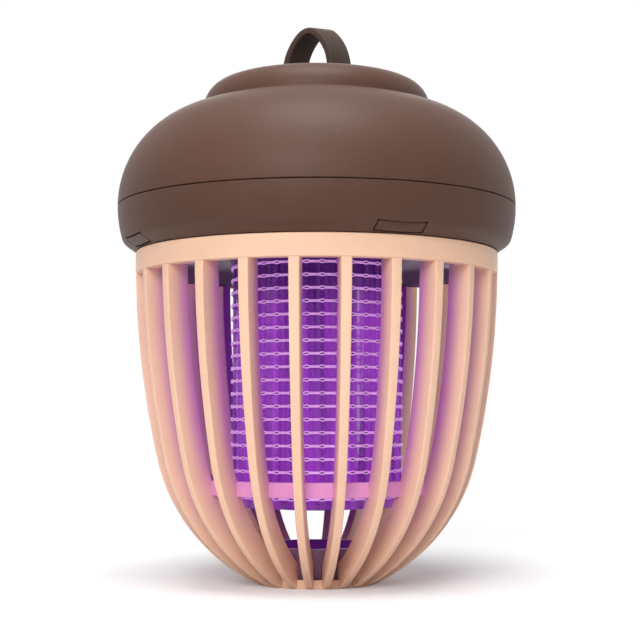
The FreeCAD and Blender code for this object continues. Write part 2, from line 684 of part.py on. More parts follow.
def make_switch():
    """The small switch behind the button."""
    body = new_body("button_switch")
    half = "(switch_thick / 2)"
    case = slant_box(body, "switch_section", "inlet_middle - " + half, "inlet_middle + " + half,
                     "switch_front", "cradle_high + back_thick / 2")
    extrude(body, "switch_case", case, "switch_wide", "Pad", False, True)
    back = slant_box(body, "switch_back_section", "inlet_middle - %s - back_reach" % half,
                     "inlet_middle + %s + back_reach" % half, "cradle_high", "cradle_high + back_thick")
    extrude(body, "switch_back", back, "switch_wide + 2 * back_reach", "Pad", False, True)
    plunger = slant_box(body, "plunger_section", "inlet_middle - plunger_radius",
                        "inlet_middle + plunger_radius",
                        "button_thick + button_travel + plunger_gap", "switch_front + 0.2")
    extrude(body, "plunger", plunger, "2 * plunger_radius", "Pad", False, True)
    turn_body(body, "button_angle")
    return body


def make_dome():
    """The upper shell of the cap, with a stepped collar, two strap slots and screw bosses."""
    body = new_body("cap_dome")
    hollow = "(collar_radius - 1.5 * cap_wall)"
    ledge = "(boss_circle - boss_radius - boss_margin)"
    ledge_high = "parting_level + sqrt(inner_bend^2 - (%s - dome_x)^2)" % ledge
    path = [
        ("0", "top_under"),
        ("collar_flat - 2.5", "top_under"),
        (hollow, "crease_level"),
        (hollow, ledge_high),
        (ledge, ledge_high),
        (ledge, "parting_level + inner_bend * sin(boss_rise)"),
        ("dome_x + inner_bend * cos(boss_rise)", "parting_level + inner_bend * sin(boss_rise)"),
        ("dome_x + inner_bend * cos(0.6 * boss_rise)", "parting_level + inner_bend * sin(0.6 * boss_rise)"),
        ("dome_x + inner_bend * cos(0.3 * boss_rise)", "parting_level + inner_bend * sin(0.3 * boss_rise)"),
        ("dome_x + sqrt(inner_bend^2 - lip_height^2)", "tongue_top"),
        ("tongue_edge + tongue_gap", "tongue_top"),
        ("tongue_edge + tongue_gap", "parting_level"),
        ("cap_radius", "parting_level"),
        ("collar_radius", "crease_level"),
        ("collar_flat", "top_level - crown_rise"),
        ("0", "top_level"),
    ]
    arcs = {12: "dome_bend", 13: "collar_bend", 14: "crown_bend"}
    revolve(body, "dome_shell", outline(body, "dome_section", "XZ_Plane", path, arcs))
    place = [("boss_circle * cos(boss_turn)", "boss_circle * sin(boss_turn)")]
    boss = extrude(body, "boss", circles(body, "boss_section", "XY_Plane", place, "boss_radius", "lip_level"),
                   "boss_reach - lip_level")
    bore = extrude(body, "boss_bore", circles(body, "bore_section", "XY_Plane", place,
                                              "screw_shank + screw_fit", "lip_level"),
                   "screw_length + 2", "Pocket", True)
    around(body, "bosses", [boss, bore], "screw_count")
    outer = strap_place("top_level")[0]
    inner = strap_place("top_under")[1]
    for side in ("", "-"):
        slot = outline(body, "strap_slot_section" + ("_left" if side else "_right"), "XY_Plane", [
            (side + "(%s - strap_gap)" % inner, "-(strap_wide / 2 + strap_gap)"),
            (side + "(%s + strap_gap)" % outer, "-(strap_wide / 2 + strap_gap)"),
            (side + "(%s + strap_gap)" % outer, "strap_wide / 2 + strap_gap"),
            (side + "(%s - strap_gap)" % inner, "strap_wide / 2 + strap_gap"),
        ], None, "top_level + 1")
        extrude(body, "strap_slot" + ("_left" if side else "_right"), slot, "top_wall + 2", "Pocket")
    return body


def strap_place(level):
    """Outer and inner distance of the strap's leg from the middle at a level."""
    outer = "(leg_x + sqrt(loop_leg_bend^2 - (%s - leg_z)^2))" % level
    inner = "(leg_x + sqrt((loop_leg_bend - strap_thick)^2 - (%s - leg_z)^2))" % level
    return outer, inner


def make_loop():
    """A flat strap bent into a loop, its ends held under the top by thick stops."""
    body = new_body("hanging_loop")
    outer, inner = strap_place("top_under")
    thin_x = "((loop_round - strap_thick) * sin(loop_round_angle))"
    thin_z = "(loop_top - loop_round + (loop_round - strap_thick) * cos(loop_round_angle))"
    right = [
        (inner + " - stop_reach", "top_under"),
        (inner + " - stop_reach", "top_under - stop_thick"),
        (outer + " + stop_reach", "top_under - stop_thick"),
        (outer + " + stop_reach", "top_under"),
        (outer, "top_under"),
        ("round_x", "round_z"),
    ]
    left = [
        ("-round_x", "round_z"),
        ("-" + outer, "top_under"),
        ("-(%s + stop_reach)" % outer, "top_under"),
        ("-(%s + stop_reach)" % outer, "top_under - stop_thick"),
        ("-(%s - stop_reach)" % inner, "top_under - stop_thick"),
        ("-(%s - stop_reach)" % inner, "top_under"),
        ("-" + inner, "top_under"),
        ("-" + thin_x, thin_z),
        (thin_x, thin_z),
        (inner, "top_under"),
    ]
    arcs = {
        4: "loop_leg_bend",
        5: "loop_round",
        6: "loop_leg_bend",
        12: "-(loop_leg_bend - strap_thick)",
        13: "-(loop_round - strap_thick)",
        14: "-(loop_leg_bend - strap_thick)",
    }
    strap = outline(body, "strap_section", "XZ_Plane", right + left, arcs)
    extrude(body, "strap", strap, "strap_wide", "Pad", False, True)
    return body


def make_ceiling():
    """The plate that closes the cap, with the bayonet collar below and board posts above."""
    body = new_body("ceiling_plate")
    path = [
        ("0", "ceiling_low"),
        ("collar_edge - collar_wall", "ceiling_low"),
        ("collar_edge - collar_wall", "collar_low"),
        ("collar_edge", "collar_low"),
        ("collar_edge", "lip_level"),
        ("0", "lip_level"),
    ]
    revolve(body, "plate", outline(body, "plate_section", "XZ_Plane", path))
    lug_section = rectangle(body, "lug_section", "XZ_Plane", "collar_edge - 1", "collar_edge + lug_reach",
                            "lug_low", "lug_high")
    lug = revolve(body, "lug", lug_section, "lug_angle")
    around(body, "lugs", [lug], "lug_count")
    post_section = circles(body, "post_section", "XY_Plane", [("post_circle", "0")], "post_radius",
                           "lip_level")
    post = extrude(body, "post", post_section, "board_level - lip_level")
    around(body, "posts", [post], "post_count")
    place = [("boss_circle * cos(boss_turn)", "boss_circle * sin(boss_turn)")]
    hole_section = circles(body, "screw_hole_section", "XY_Plane", place, "screw_shank + screw_pass",
                           "lip_level + 1")
    hole = extrude(body, "screw_hole", hole_section, "lip_level - ceiling_low + 2", "Pocket")
    around(body, "screw_holes", [hole], "screw_count")
    for name, turn in (("live", "live_turn"), ("earth", "earth_turn")):
        slot = rectangle(body, name + "_slot_section", "XY_Plane", "feed_inner - feed_gap",
                         "feed_outer + feed_gap", "-(feed_wide / 2 + feed_gap)",
                         "feed_wide / 2 + feed_gap", "lip_level + 1", turn)
        extrude(body, name + "_slot", slot, "lip_level - ceiling_low + 2", "Pocket")
    return body


def make_screws():
    """Four pan head screws from below, through the ceiling into the dome's bosses."""
    screws = []
    shank_sizes = {"Radius": "screw_shank", "Height": "screw_length"}
    head_sizes = {"Radius": "screw_head", "Height": "screw_head_thick"}
    for number in range(int(worth(named("screw_count")))):
        turn = "(boss_turn + %d * 360 / screw_count)" % number
        x = "boss_circle * cos(%s)" % turn
        y = "boss_circle * sin(%s)" % turn
        shank = primitive("Cylinder", "shank%d" % number, shank_sizes, x, y, "ceiling_low")
        head = primitive("Cylinder", "head%d" % number, head_sizes, x, y, "ceiling_low - screw_head_thick")
        screws.append(combine("Fuse", "screw%d" % number, head, shank))
    return group("case_screws", screws)


def make_board():
    body = new_body("circuit_board")
    disc = circles(body, "board_section", "XY_Plane", [("0", "0")], "board_radius", "board_level")
    extrude(body, "board", disc, "board_thick")
    place = [("boss_circle * cos(boss_turn)", "boss_circle * sin(boss_turn)")]
    hole_section = circles(body, "pass_section", "XY_Plane", place, "boss_radius + board_hole_gap",
                           "board_level + board_thick + 1")
    hole = extrude(body, "pass_hole", hole_section, "board_thick + 2", "Pocket")
    around(body, "pass_holes", [hole], "screw_count")
    return body


def make_battery():
    """The rechargeable cell lies along X in a cradle on the board."""
    cell = primitive("Cylinder", "battery_cell", {"Radius": "cell_radius", "Height": "cell_length"},
                     "-cell_length / 2", "0", "board_top + cradle_floor + cell_radius")
    cell.Placement.Rotation = FreeCAD.Rotation(FreeCAD.Vector(0, 1, 0), 90)
    cell.Label = "battery_cell"
    body = new_body("battery_cradle")
    path = [
        ("-(cell_reach + cradle_end_wall)", "board_top"),
        ("cell_reach + cradle_end_wall", "board_top"),
        ("cell_reach + cradle_end_wall", "board_top + cradle_end_high"),
        ("cell_reach", "board_top + cradle_end_high"),
        ("cell_reach", "board_top + cradle_floor"),
        ("-cell_reach", "board_top + cradle_floor"),
        ("-cell_reach", "board_top + cradle_end_high"),
        ("-(cell_reach + cradle_end_wall)", "board_top + cradle_end_high"),
    ]
    extrude(body, "cradle", outline(body, "cradle_outline", "XZ_Plane", path), "cradle_broad",
            "Pad", False, True)
    return cell, body


def make_board_parts():
    coil = primitive("Box", "step_up_transformer",
                     {"Length": "coil_long", "Width": "coil_broad", "Height": "coil_high"},
                     "-coil_long / 2", "coil_place - coil_broad / 2", "board_top")
    coil.Label = "step_up_transformer"
    can = primitive("Cylinder", "storage_capacitor",
                    {"Radius": "capacitor_radius", "Height": "capacitor_high"},
                    "0", "-capacitor_place", "board_top")
    can.Label = "storage_capacitor"
    return coil, can


def make_lamp():
    """The lamp column: a tube between a socket and an end cap, with a light strip inside."""
    pieces = []
    for label, path in (
        ("lamp_socket", [("0", "tube_high"), ("tube_seat_radius", "tube_high"),
                         ("tube_seat_radius", "socket_low"),
                         ("socket_radius", "socket_low"), ("socket_radius", "ceiling_low"),
                         ("0", "ceiling_low")]),
        ("lamp_tube", [("tube_radius - tube_wall", "tube_low"), ("tube_radius", "tube_low"),
                       ("tube_radius", "tube_high"), ("tube_radius - tube_wall", "tube_high")]),
        ("lamp_end_cap", [("0", "cap_low"), ("end_cap_flange", "cap_low"), ("end_cap_flange", "grid_low"),
                          ("end_cap_radius", "grid_low"), ("end_cap_radius", "end_cap_high"),
                          ("tube_seat_radius", "end_cap_high"), ("tube_seat_radius", "tube_low"),
                          ("0", "tube_low")]),
    ):
        body = new_body(label)
        revolve(body, label + "_form", outline(body, label + "_section", "XZ_Plane", path))
        pieces.append(body)
    strip = primitive("Box", "light_strip", {"Length": "strip_wide", "Width": "strip_thick",
                                             "Height": "tube_high - tube_low"},
                      "-strip_wide / 2", "-strip_thick / 2", "tube_low")
    strip.Label = "light_strip"
    lights = []
    for side in ("strip_thick / 2", "-strip_thick / 2 - light_thick"):
        for number in range(int(worth(named("light_count")))):
            level = "light_low + %d * light_pitch - light_size / 2" % number
            lights.append(primitive("Box", "light%d" % len(lights), {
                "Length": "light_size", "Width": "light_thick", "Height": "light_size",
            }, "-light_size / 2", side, level))
    return pieces + [strip, group("lights", lights)]


def make_grid_frame():
    """The insulating frame of the grid: a thin drum with upright bars on it, between two rings."""
    body = new_body("grid_frame")
    low = rectangle(body, "low_ring_section", "XZ_Plane", "end_cap_radius + tube_fit", "grid_ring_radius",
                    "grid_low", "grid_low_top")
    revolve(body, "low_ring", low)
    wall = rectangle(body, "wall_section", "XZ_Plane", "bar_inner", "drum_radius", "grid_low_top",
                     "grid_top_low")
    revolve(body, "wall", wall)
    for name, turn in (("live", "live_turn"), ("earth", "earth_turn")):
        slot = rectangle(body, name + "_slot_section", "XY_Plane", "bar_inner - 0.1", "drum_radius + 0.1",
                         "-(feed_wide / 2 + feed_gap)", "feed_wide / 2 + feed_gap", "grid_top_low", turn)
        extrude(body, name + "_slot", slot, "grid_top_low - grid_low_top", "Pocket")
    face = "wire_bend_radius - bar_width / 2 * tan(180 / bar_count)"
    bar_section = rectangle(body, "bar_section", "XY_Plane", "bar_inner", face, "-bar_width / 2",
                            "bar_width / 2", "grid_low_top")
    bar = extrude(body, "bar", bar_section, "grid_top_low - grid_low_top")
    around(body, "bars", [bar], "bar_count")
    top = rectangle(body, "top_ring_section", "XZ_Plane", "grid_ring_bore", "grid_ring_radius",
                    "grid_top_low", "ceiling_low")
    body.Tip = revolve(body, "top_ring", top)
    return body


def make_wires(label, first):
    """Every second wire of the grid: a hoop drawn tight over the bars, so its spans are straight."""
    rows = []
    for number in range(first, int(worth(named("row_count"))), 2):
        level = "row_low + %d * row_pitch - wire_thick / 2" % number
        outer = primitive("Prism", "wire%d_outer" % number,
                          {"Polygon": "bar_count", "Circumradius": "wire_bend_radius + wire_thick",
                           "Height": "wire_thick"}, "0", "0", level)
        inner = primitive("Prism", "wire%d_inner" % number,
                          {"Polygon": "bar_count", "Circumradius": "wire_bend_radius",
                           "Height": "wire_thick"}, "0", "0", level)
        rows.append(combine("Cut", "wire%d" % number, outer, inner))
    return group(label, rows)


def make_feed(label, first, turn):
    """A metal strip inside the drum with a finger through its slot to each wire of one electrode."""
    body = new_body(label)
    spine = rectangle(body, label + "_spine", "XZ_Plane", "feed_inner", "feed_outer", "feed_low",
                      "feed_high")
    extrude(body, label + "_strip", spine, "feed_wide", "Pad", False, True)
    for number in range(first, int(worth(named("row_count"))), 2):
        level = "row_low + %d * row_pitch" % number
        finger = rectangle(body, "%s_finger%d" % (label, number), "XZ_Plane", "feed_outer - 0.1",
                           "wire_bend_radius * cos(180 / bar_count)",
                           level + " - wire_thick / 2", level + " + wire_thick / 2")
        extrude(body, "%s_tooth%d" % (label, number), finger, "feed_wide", "Pad", False, True)
    turn_body(body, turn)
    return body


def make_all():
    pieces = [make_dome(), make_skirt(), make_loop(), make_ceiling(), make_screws()]
    pieces += [make_port_cover(), make_port(), make_button(), make_switch()]
    pieces += [make_board(), *make_battery(), *make_board_parts()]
    pieces += make_lamp()
    pieces += [make_grid_frame(), make_wires("live_wires", 0), make_wires("earth_wires", 1)]
    pieces += [make_feed("live_feed", 0, "live_turn"), make_feed("earth_feed", 1, "earth_turn")]
    pieces += [make_cage(), make_tray()]
    return pieces


def check_all(pieces):
    """Stops with a plain message if anything failed, before a file is written."""
    doc.recompute()
    for item in doc.Objects:
        if "Invalid" in item.State or "Error" in item.State:
            raise RuntimeError("%s is in state %s" % (item.Name, item.State))
    for piece in pieces:
        if piece.Shape.isNull() or not piece.Shape.isValid():
            raise RuntimeError("%s has no valid shape" % piece.Label)


all_pieces = make_all()
check_all(all_pieces)
os.makedirs("parts", exist_ok=True)
for piece in all_pieces:
    piece.Shape.exportStep("parts/%s.step" % piece.Label)
    print(piece.Label, len(piece.Shape.Solids), round(piece.Shape.Volume, 1))
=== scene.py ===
import math

import bmesh
import bpy
from mathutils import Matrix, Vector


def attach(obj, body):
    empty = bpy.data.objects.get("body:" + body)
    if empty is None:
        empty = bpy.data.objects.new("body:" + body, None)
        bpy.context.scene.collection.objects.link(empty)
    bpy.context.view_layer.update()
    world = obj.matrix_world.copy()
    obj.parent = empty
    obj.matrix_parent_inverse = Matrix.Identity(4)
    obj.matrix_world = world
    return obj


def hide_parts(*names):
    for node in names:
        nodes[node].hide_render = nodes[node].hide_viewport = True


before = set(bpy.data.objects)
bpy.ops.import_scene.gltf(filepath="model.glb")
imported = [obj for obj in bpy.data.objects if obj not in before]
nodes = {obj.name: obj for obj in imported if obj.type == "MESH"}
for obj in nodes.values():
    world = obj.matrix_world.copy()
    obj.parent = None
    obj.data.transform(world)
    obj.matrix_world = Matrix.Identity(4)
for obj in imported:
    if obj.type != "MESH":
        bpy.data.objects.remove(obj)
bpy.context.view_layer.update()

# Looks for the acorn lamp. Sizes are in millimetres and are turned into metres when a mesh is made.
mm = 0.001


class Sock:
    # one socket of a node tree; + - * / and ** on it add Math nodes
    def __init__(self, tree, socket=None):
        self.tree = tree
        self.socket = socket

    def node(self, kind, settings=None, values=None, out=0):
        # any node, from its type, its settings and the values or links of its sockets
        made = self.tree.nodes.new(kind)
        for key, value in (settings or {}).items():
            setattr(made, key, value)
        for key, value in (values or {}).items():
            if isinstance(value, Sock):
                self.tree.links.new(value.socket, made.inputs[key])
            else:
                made.inputs[key].default_value = value
        return Sock(self.tree, made.outputs[out]) if made.outputs else Sock(self.tree)

    def out(self, key):
        return Sock(self.tree, self.socket.node.outputs[key])

    def math(self, kind, first, second):
        return self.node("ShaderNodeMath", {"operation": kind}, {0: first, 1: second})

    def __add__(self, other):
        return self.math("ADD", self, other)

    def __radd__(self, other):
        return self.math("ADD", other, self)

    def __sub__(self, other):
        return self.math("SUBTRACT", self, other)

    def __rsub__(self, other):
        return self.math("SUBTRACT", other, self)

    def __mul__(self, other):
        return self.math("MULTIPLY", self, other)

    def __truediv__(self, other):
        return self.math("DIVIDE", self, other)

    def __pow__(self, other):
        return self.math("POWER", self, other)

    def between(self, low, high):
        # 0 below low, 1 above high, smooth in between
        return self.node("ShaderNodeMapRange", {"interpolation_type": "SMOOTHSTEP"},
                         {"Value": self, "From Min": low, "From Max": high})

    def blend(self, first, second):
        # this value mixes two colours
        return self.node("ShaderNodeMix", {"data_type": "RGBA"}, {0: self, 6: first, 7: second}, 2)


def tone(colour, factor=1.0):
    # a colour written as it looks on screen, as the shader wants it
    parts = [c / 255 for c in colour]
    linear = [p / 12.92 if p <= 0.04045 else ((p + 0.055) / 1.055) ** 2.4 for p in parts]
    return (*[min(1.0, p * factor) for p in linear], 1.0)


def startMaterial(name):
    material = bpy.data.materials.new(name)
    material.use_nodes = True
    material.node_tree.nodes.clear()
    return material, Sock(material.node_tree)


def endMaterial(start, shader):
    start.node("ShaderNodeOutputMaterial", None, {"Surface": shader})


# what all finishes share
surface = {
    "driftDetail": 3.0, "driftFrom": (0.3, 0.7), "grainDetail": 4.0, "grainRough": 0.6,
    "grainFrom": (0.35, 0.75), "scuffStretch": (1.0, 1.0, 0.35), "scuffScale": 260.0,
    "scuffDetail": 6.0, "scuffFrom": (0.66, 0.78), "scuffRough": 0.15, "coatRough": 0.2,
    "bendLevel": 0.09, "lampFade": 0.8, "sideFrom": (0.1, 0.62), "innerFrom": (0.5, 0.85),
    "streakStretch": (1.0, 1.0, 0.03), "streakDetail": 3.0, "streakFrom": (0.35, 0.65),
    "topShade": 0.35,
}


def noise(start, place, stretch, scale, values):
    # noise in a place that may be stretched first
    if stretch:
        place = start.node("ShaderNodeMapping", None, {"Vector": place, "Scale": stretch})
    return start.node("ShaderNodeTexNoise", None, {"Vector": place, "Scale": scale, **values})


def paintLampLight(start, place, colour, look):
    # painted lamp light: faces that look at the lamp get its violet light painted into their colour and a
    # painted glow, most at the middle of its height
    normal = start.node("ShaderNodeTexCoord").out("Normal")
    level = start.node("ShaderNodeVectorMath", {"operation": "MULTIPLY"}, {0: place, 1: (1, 1, 0)})
    outward = start.node("ShaderNodeVectorMath", {"operation": "NORMALIZE"}, {0: level})
    facing = start.node("ShaderNodeVectorMath", {"operation": "DOT_PRODUCT"}, {0: normal, 1: outward}, 1)
    height = start.node("ShaderNodeSeparateXYZ", None, {"Vector": place}).out("Z")
    away = start.node("ShaderNodeVectorMath", {"operation": "LENGTH"}, {0: level}, 1)
    # the reach follows the ribs' curve
    away = away + (surface["bendLevel"] - height) ** 2.0 * look["lampBend"]
    heights = look["lampHeights"]
    near = height.between(*heights[:2]) * (1 - height.between(*heights[2:]) * surface["lampFade"])
    near = near * (1 - away.between(*look["lampReach"]) * look["lampFar"])
    # painted violet lamp light on the faces that turn away from the outside
    lit = (1 - facing.between(*surface["sideFrom"])) * near
    colour = (lit * look["paintedLampShare"]).blend(colour, tone(look["paintedLampColour"]))
    # dimmer painted violet lamp light on the faces that look in towards the axis
    inward = (facing * -1.0).between(*surface["innerFrom"])
    colour = (inward * look["paintedInnerShare"]).blend(colour, tone(look["paintedInnerLight"]))
    # a painted glow where the painted lamp light falls
    glow = lit.blend((0.0, 0.0, 0.0, 1.0), tone(look["paintedLampGlow"]))
    return colour, glow, look["paintedLampGlowStrength"]


def streakGlow(start, place, look):
    # upright streaks of glow: lamp light on the lamp's tube and lights, painted glow on the other parts; the
    # glow may darken towards the top in painted shade
    streaks = noise(start, place, surface["streakStretch"], look["streakScale"],
                    {"Detail": surface["streakDetail"]})
    shine = streaks.between(*surface["streakFrom"]).blend(tone(look["glowDark"]), tone(look["glow"]))
    # painted shade: the glow darkens towards the top
    if "glowTop" in look:
        height = start.node("ShaderNodeSeparateXYZ", None, {"Vector": place}).out("Z")
        shine = height.between(*look["glowTop"]).blend(shine, tone(look["glowDark"], surface["topShade"]))
    return shine, look["glowStrength"]


def finish(name, look):
    # a moulded, rubber or metal surface: slow colour drift, fine grain, scuffs and dust
    material, start = startMaterial(name)
    place = start.node("ShaderNodeTexCoord").out("Object")
    drift = noise(start, place, None, look["driftScale"], {"Detail": surface["driftDetail"]})
    grain = noise(start, place, look.get("stretch", (1, 1, 1)), look["grainScale"],
                  {"Detail": surface["grainDetail"], "Roughness": surface["grainRough"]})
    scuff = noise(start, place, surface["scuffStretch"], surface["scuffScale"],
                  {"Detail": surface["scuffDetail"]})
    worn = scuff.between(*surface["scuffFrom"]) * look["wear"]
    base = drift.between(*surface["driftFrom"]).blend(tone(look["colour"]), tone(look["drift"]))
    grainShare = grain.between(*surface["grainFrom"]) * look["speckle"]
    colour = worn.blend(grainShare.blend(base, tone(look["fleck"])), tone(look["scuff"]))
    glow = None
    # painted violet lamp light and a painted glow
    if "paintedLampColour" in look:
        colour, glow, strength = paintLampLight(start, place, colour, look)
    # glow: lamp light on the lamp's tube and lights, painted light on the other parts
    if "glow" in look:
        glow, strength = streakGlow(start, place, look)
    relief = start.node("ShaderNodeBump", None, {
        "Strength": look["bump"], "Distance": look["bumpDepth"] * mm, "Height": grain})
    values = {
        "Base Color": colour, "Normal": relief,
        "Roughness": look["rough"] + (grain - 0.5) * look["roughSpread"] + worn * surface["scuffRough"],
        "Metallic": look.get("metal", 0.0), "Specular IOR Level": look.get("specular", 0.5),
    }
    if "coat" in look:
        values["Coat Weight"] = look["coat"]
        values["Coat Roughness"] = surface["coatRough"]
    if "alpha" in look:
        values["Alpha"] = look["alpha"]
    if glow:
        values["Emission Color"] = glow
        values["Emission Strength"] = strength
    endMaterial(start, start.node("ShaderNodeBsdfPrincipled", None, values))
    return material


finishes = {
    "capPlastic": {
        "colour": (84, 57, 46), "drift": (78, 53, 42), "fleck": (94, 67, 55), "scuff": (118, 92, 80),
        "driftScale": 22.0, "grainScale": 2600.0, "speckle": 0.35, "wear": 0.05, "rough": 0.50,
        "roughSpread": 0.1, "bump": 0.22, "bumpDepth": 0.05, "specular": 0.21,
    },
    "strapRubber": {
        "colour": (70, 54, 46), "drift": (62, 47, 40), "fleck": (82, 65, 56), "scuff": (112, 92, 82),
        "driftScale": 60.0, "grainScale": 2200.0, "speckle": 0.4, "wear": 0.08, "rough": 0.62,
        "roughSpread": 0.16, "bump": 0.3, "bumpDepth": 0.06, "specular": 0.2,
    },
    # the cage's peach plastic, with painted violet lamp light on its sides and inner faces and a painted glow
    "cagePlastic": {
        "colour": (238, 196, 167), "drift": (232, 189, 160), "fleck": (243, 204, 177),
        "scuff": (246, 214, 194), "driftScale": 26.0, "grainScale": 2000.0, "speckle": 0.3,
        "wear": 0.10, "rough": 0.46, "roughSpread": 0.12, "bump": 0.12, "bumpDepth": 0.04,
        "specular": 0.4, "paintedLampColour": (178, 86, 184), "paintedLampShare": 0.92, "paintedLampGlow": (150, 40, 200),
        "paintedLampGlowStrength": 0.14, "lampHeights": (0.010, 0.046, 0.078, 0.092),
        "lampReach": (0.0425, 0.0495), "lampFar": 0.94, "lampBend": 2.0, "paintedInnerLight": (112, 52, 138),
        "paintedInnerShare": 0.85,
    },
    # the hoop is the cage's peach plastic; its pink colour is painted violet lamp light, and its glow is
    # painted light
    "hoopPaintedLampLight": {
        "colour": (214, 144, 186), "drift": (204, 132, 180), "fleck": (224, 158, 194),
        "scuff": (232, 190, 206), "driftScale": 40.0, "grainScale": 2000.0, "speckle": 0.3,
        "wear": 0.10, "rough": 0.46, "roughSpread": 0.12, "bump": 0.12, "bumpDepth": 0.04,
        "specular": 0.4, "glow": (150, 40, 200), "glowDark": (130, 34, 180), "glowStrength": 0.12,
        "streakScale": 90.0,
    },
    "ceilingPlastic": {
        "colour": (128, 124, 132), "drift": (118, 114, 122), "fleck": (140, 136, 143),
        "scuff": (160, 157, 162), "driftScale": 30.0, "grainScale": 1800.0, "speckle": 0.3,
        "wear": 0.08, "rough": 0.5, "roughSpread": 0.15, "bump": 0.2, "bumpDepth": 0.05,
    },
    # the tray's mauve colour is painted violet lamp light and shade on peach plastic, with more painted lamp
    # light and a painted glow
    "trayPlastic": {
        "colour": (122, 84, 112), "drift": (110, 74, 102), "fleck": (134, 96, 124),
        "scuff": (160, 130, 150), "driftScale": 40.0, "grainScale": 1600.0, "speckle": 0.3,
        "wear": 0.15, "rough": 0.38, "roughSpread": 0.15, "bump": 0.12, "bumpDepth": 0.04,
        "paintedLampColour": (112, 44, 136), "paintedLampShare": 0.9, "paintedLampGlow": (150, 50, 195),
        "paintedLampGlowStrength": 0.12, "lampHeights": (0.001, 0.006, 0.080, 0.090),
        "lampReach": (0.030, 0.040), "lampFar": 0.5, "lampBend": 0.0, "paintedInnerLight": (96, 40, 118),
        "paintedInnerShare": 0.85,
    },
    # the drum's glow and streaks are painted light, darker towards the top in painted shade
    "gridPlastic": {
        "colour": (110, 40, 146), "drift": (96, 32, 130), "fleck": (126, 54, 162),
        "scuff": (170, 120, 190), "driftScale": 50.0, "grainScale": 500.0, "stretch": (1, 1, 0.03),
        "speckle": 0.15, "wear": 0.03, "rough": 0.22, "roughSpread": 0.06, "bump": 0.03,
        "bumpDepth": 0.04, "alpha": 0.62, "glow": (170, 62, 206), "glowDark": (84, 24, 110),
        "glowStrength": 0.55, "streakScale": 300.0, "glowTop": (0.070, 0.086),
    },
    # dark colour for the painted shade in the bars' notches
    "notchPaintedShade": {
        "colour": (52, 18, 66), "drift": (44, 14, 58), "fleck": (60, 24, 76), "scuff": (80, 44, 96),
        "driftScale": 90.0, "grainScale": 2400.0, "speckle": 0.3, "wear": 0.05, "rough": 0.6,
        "roughSpread": 0.1, "bump": 0.1, "bumpDepth": 0.02,
    },
    # the steel wire's lavender colours are painted violet lamp light, and its glow is painted light
    "wireSteel": {
        "colour": (218, 176, 222), "drift": (206, 160, 212), "fleck": (230, 194, 232),
        "scuff": (170, 130, 178), "driftScale": 120.0, "grainScale": 3000.0, "stretch": (1, 1, 6),
        "speckle": 0.3, "wear": 0.2, "rough": 0.34, "roughSpread": 0.2, "bump": 0.1, "bumpDepth": 0.02,
        "metal": 0.6, "glow": (220, 140, 240), "glowDark": (176, 96, 200), "glowStrength": 0.35,
        "streakScale": 900.0,
    },
    "screwSteel": {
        "colour": (196, 196, 200), "drift": (182, 182, 188), "fleck": (210, 210, 214),
        "scuff": (150, 146, 140), "driftScale": 150.0, "grainScale": 2600.0, "speckle": 0.3,
        "wear": 0.25, "rough": 0.26, "roughSpread": 0.2, "bump": 0.12, "bumpDepth": 0.02, "metal": 1.0,
    },
    "lampPlastic": {
        "colour": (66, 40, 84), "drift": (56, 33, 72), "fleck": (80, 52, 98), "scuff": (110, 84, 126),
        "driftScale": 50.0, "grainScale": 1500.0, "speckle": 0.25, "wear": 0.1, "rough": 0.3,
        "roughSpread": 0.12, "bump": 0.1, "bumpDepth": 0.03, "coat": 0.4,
    },
    # the lamp tube's glow darkens towards the top in painted shade
    "tubeViolet": {
        "colour": (62, 24, 92), "drift": (50, 18, 76), "fleck": (80, 36, 112), "scuff": (120, 84, 150),
        "driftScale": 60.0, "grainScale": 900.0, "stretch": (1, 1, 0.05), "speckle": 0.4, "wear": 0.05,
        "rough": 0.16, "roughSpread": 0.08, "bump": 0.06, "bumpDepth": 0.03, "coat": 0.6, "alpha": 0.93,
        "glow": (150, 60, 186), "glowDark": (90, 28, 120), "glowStrength": 0.5, "streakScale": 700.0,
        "glowTop": (0.070, 0.086),
    },
    "litLight": {
        "colour": (210, 170, 250), "drift": (200, 160, 245), "fleck": (220, 190, 255),
        "scuff": (220, 200, 240), "driftScale": 200.0, "grainScale": 1500.0, "speckle": 0.3,
        "wear": 0.05, "rough": 0.3, "roughSpread": 0.1, "bump": 0.1, "bumpDepth": 0.02,
        "glow": (205, 130, 255), "glowDark": (180, 100, 250), "glowStrength": 3.0, "streakScale": 400.0,
    },
    "boardLaminate": {
        "colour": (38, 96, 62), "drift": (30, 84, 52), "fleck": (52, 112, 76), "scuff": (90, 130, 100),
        "driftScale": 60.0, "grainScale": 1400.0, "speckle": 0.4, "wear": 0.1, "rough": 0.35,
        "roughSpread": 0.12, "bump": 0.15, "bumpDepth": 0.03,
    },
    "cellSleeve": {
        "colour": (58, 116, 168), "drift": (50, 104, 154), "fleck": (74, 130, 180),
        "scuff": (140, 170, 196), "driftScale": 40.0, "grainScale": 1500.0, "speckle": 0.2,
        "wear": 0.12, "rough": 0.3, "roughSpread": 0.1, "bump": 0.08, "bumpDepth": 0.03,
    },
    "ferriteDull": {
        "colour": (62, 60, 62), "drift": (52, 50, 52), "fleck": (78, 76, 78), "scuff": (110, 108, 108),
        "driftScale": 80.0, "grainScale": 1600.0, "speckle": 0.5, "wear": 0.15, "rough": 0.6,
        "roughSpread": 0.2, "bump": 0.3, "bumpDepth": 0.05,
    },
    "blackPlastic": {
        "colour": (34, 33, 34), "drift": (28, 27, 28), "fleck": (44, 43, 44), "scuff": (80, 78, 78),
        "driftScale": 60.0, "grainScale": 1800.0, "speckle": 0.3, "wear": 0.1, "rough": 0.45,
        "roughSpread": 0.15, "bump": 0.2, "bumpDepth": 0.04,
    },
}
materials = {name: finish(name, look) for name, look in finishes.items()}
print("materials made:", len(materials))

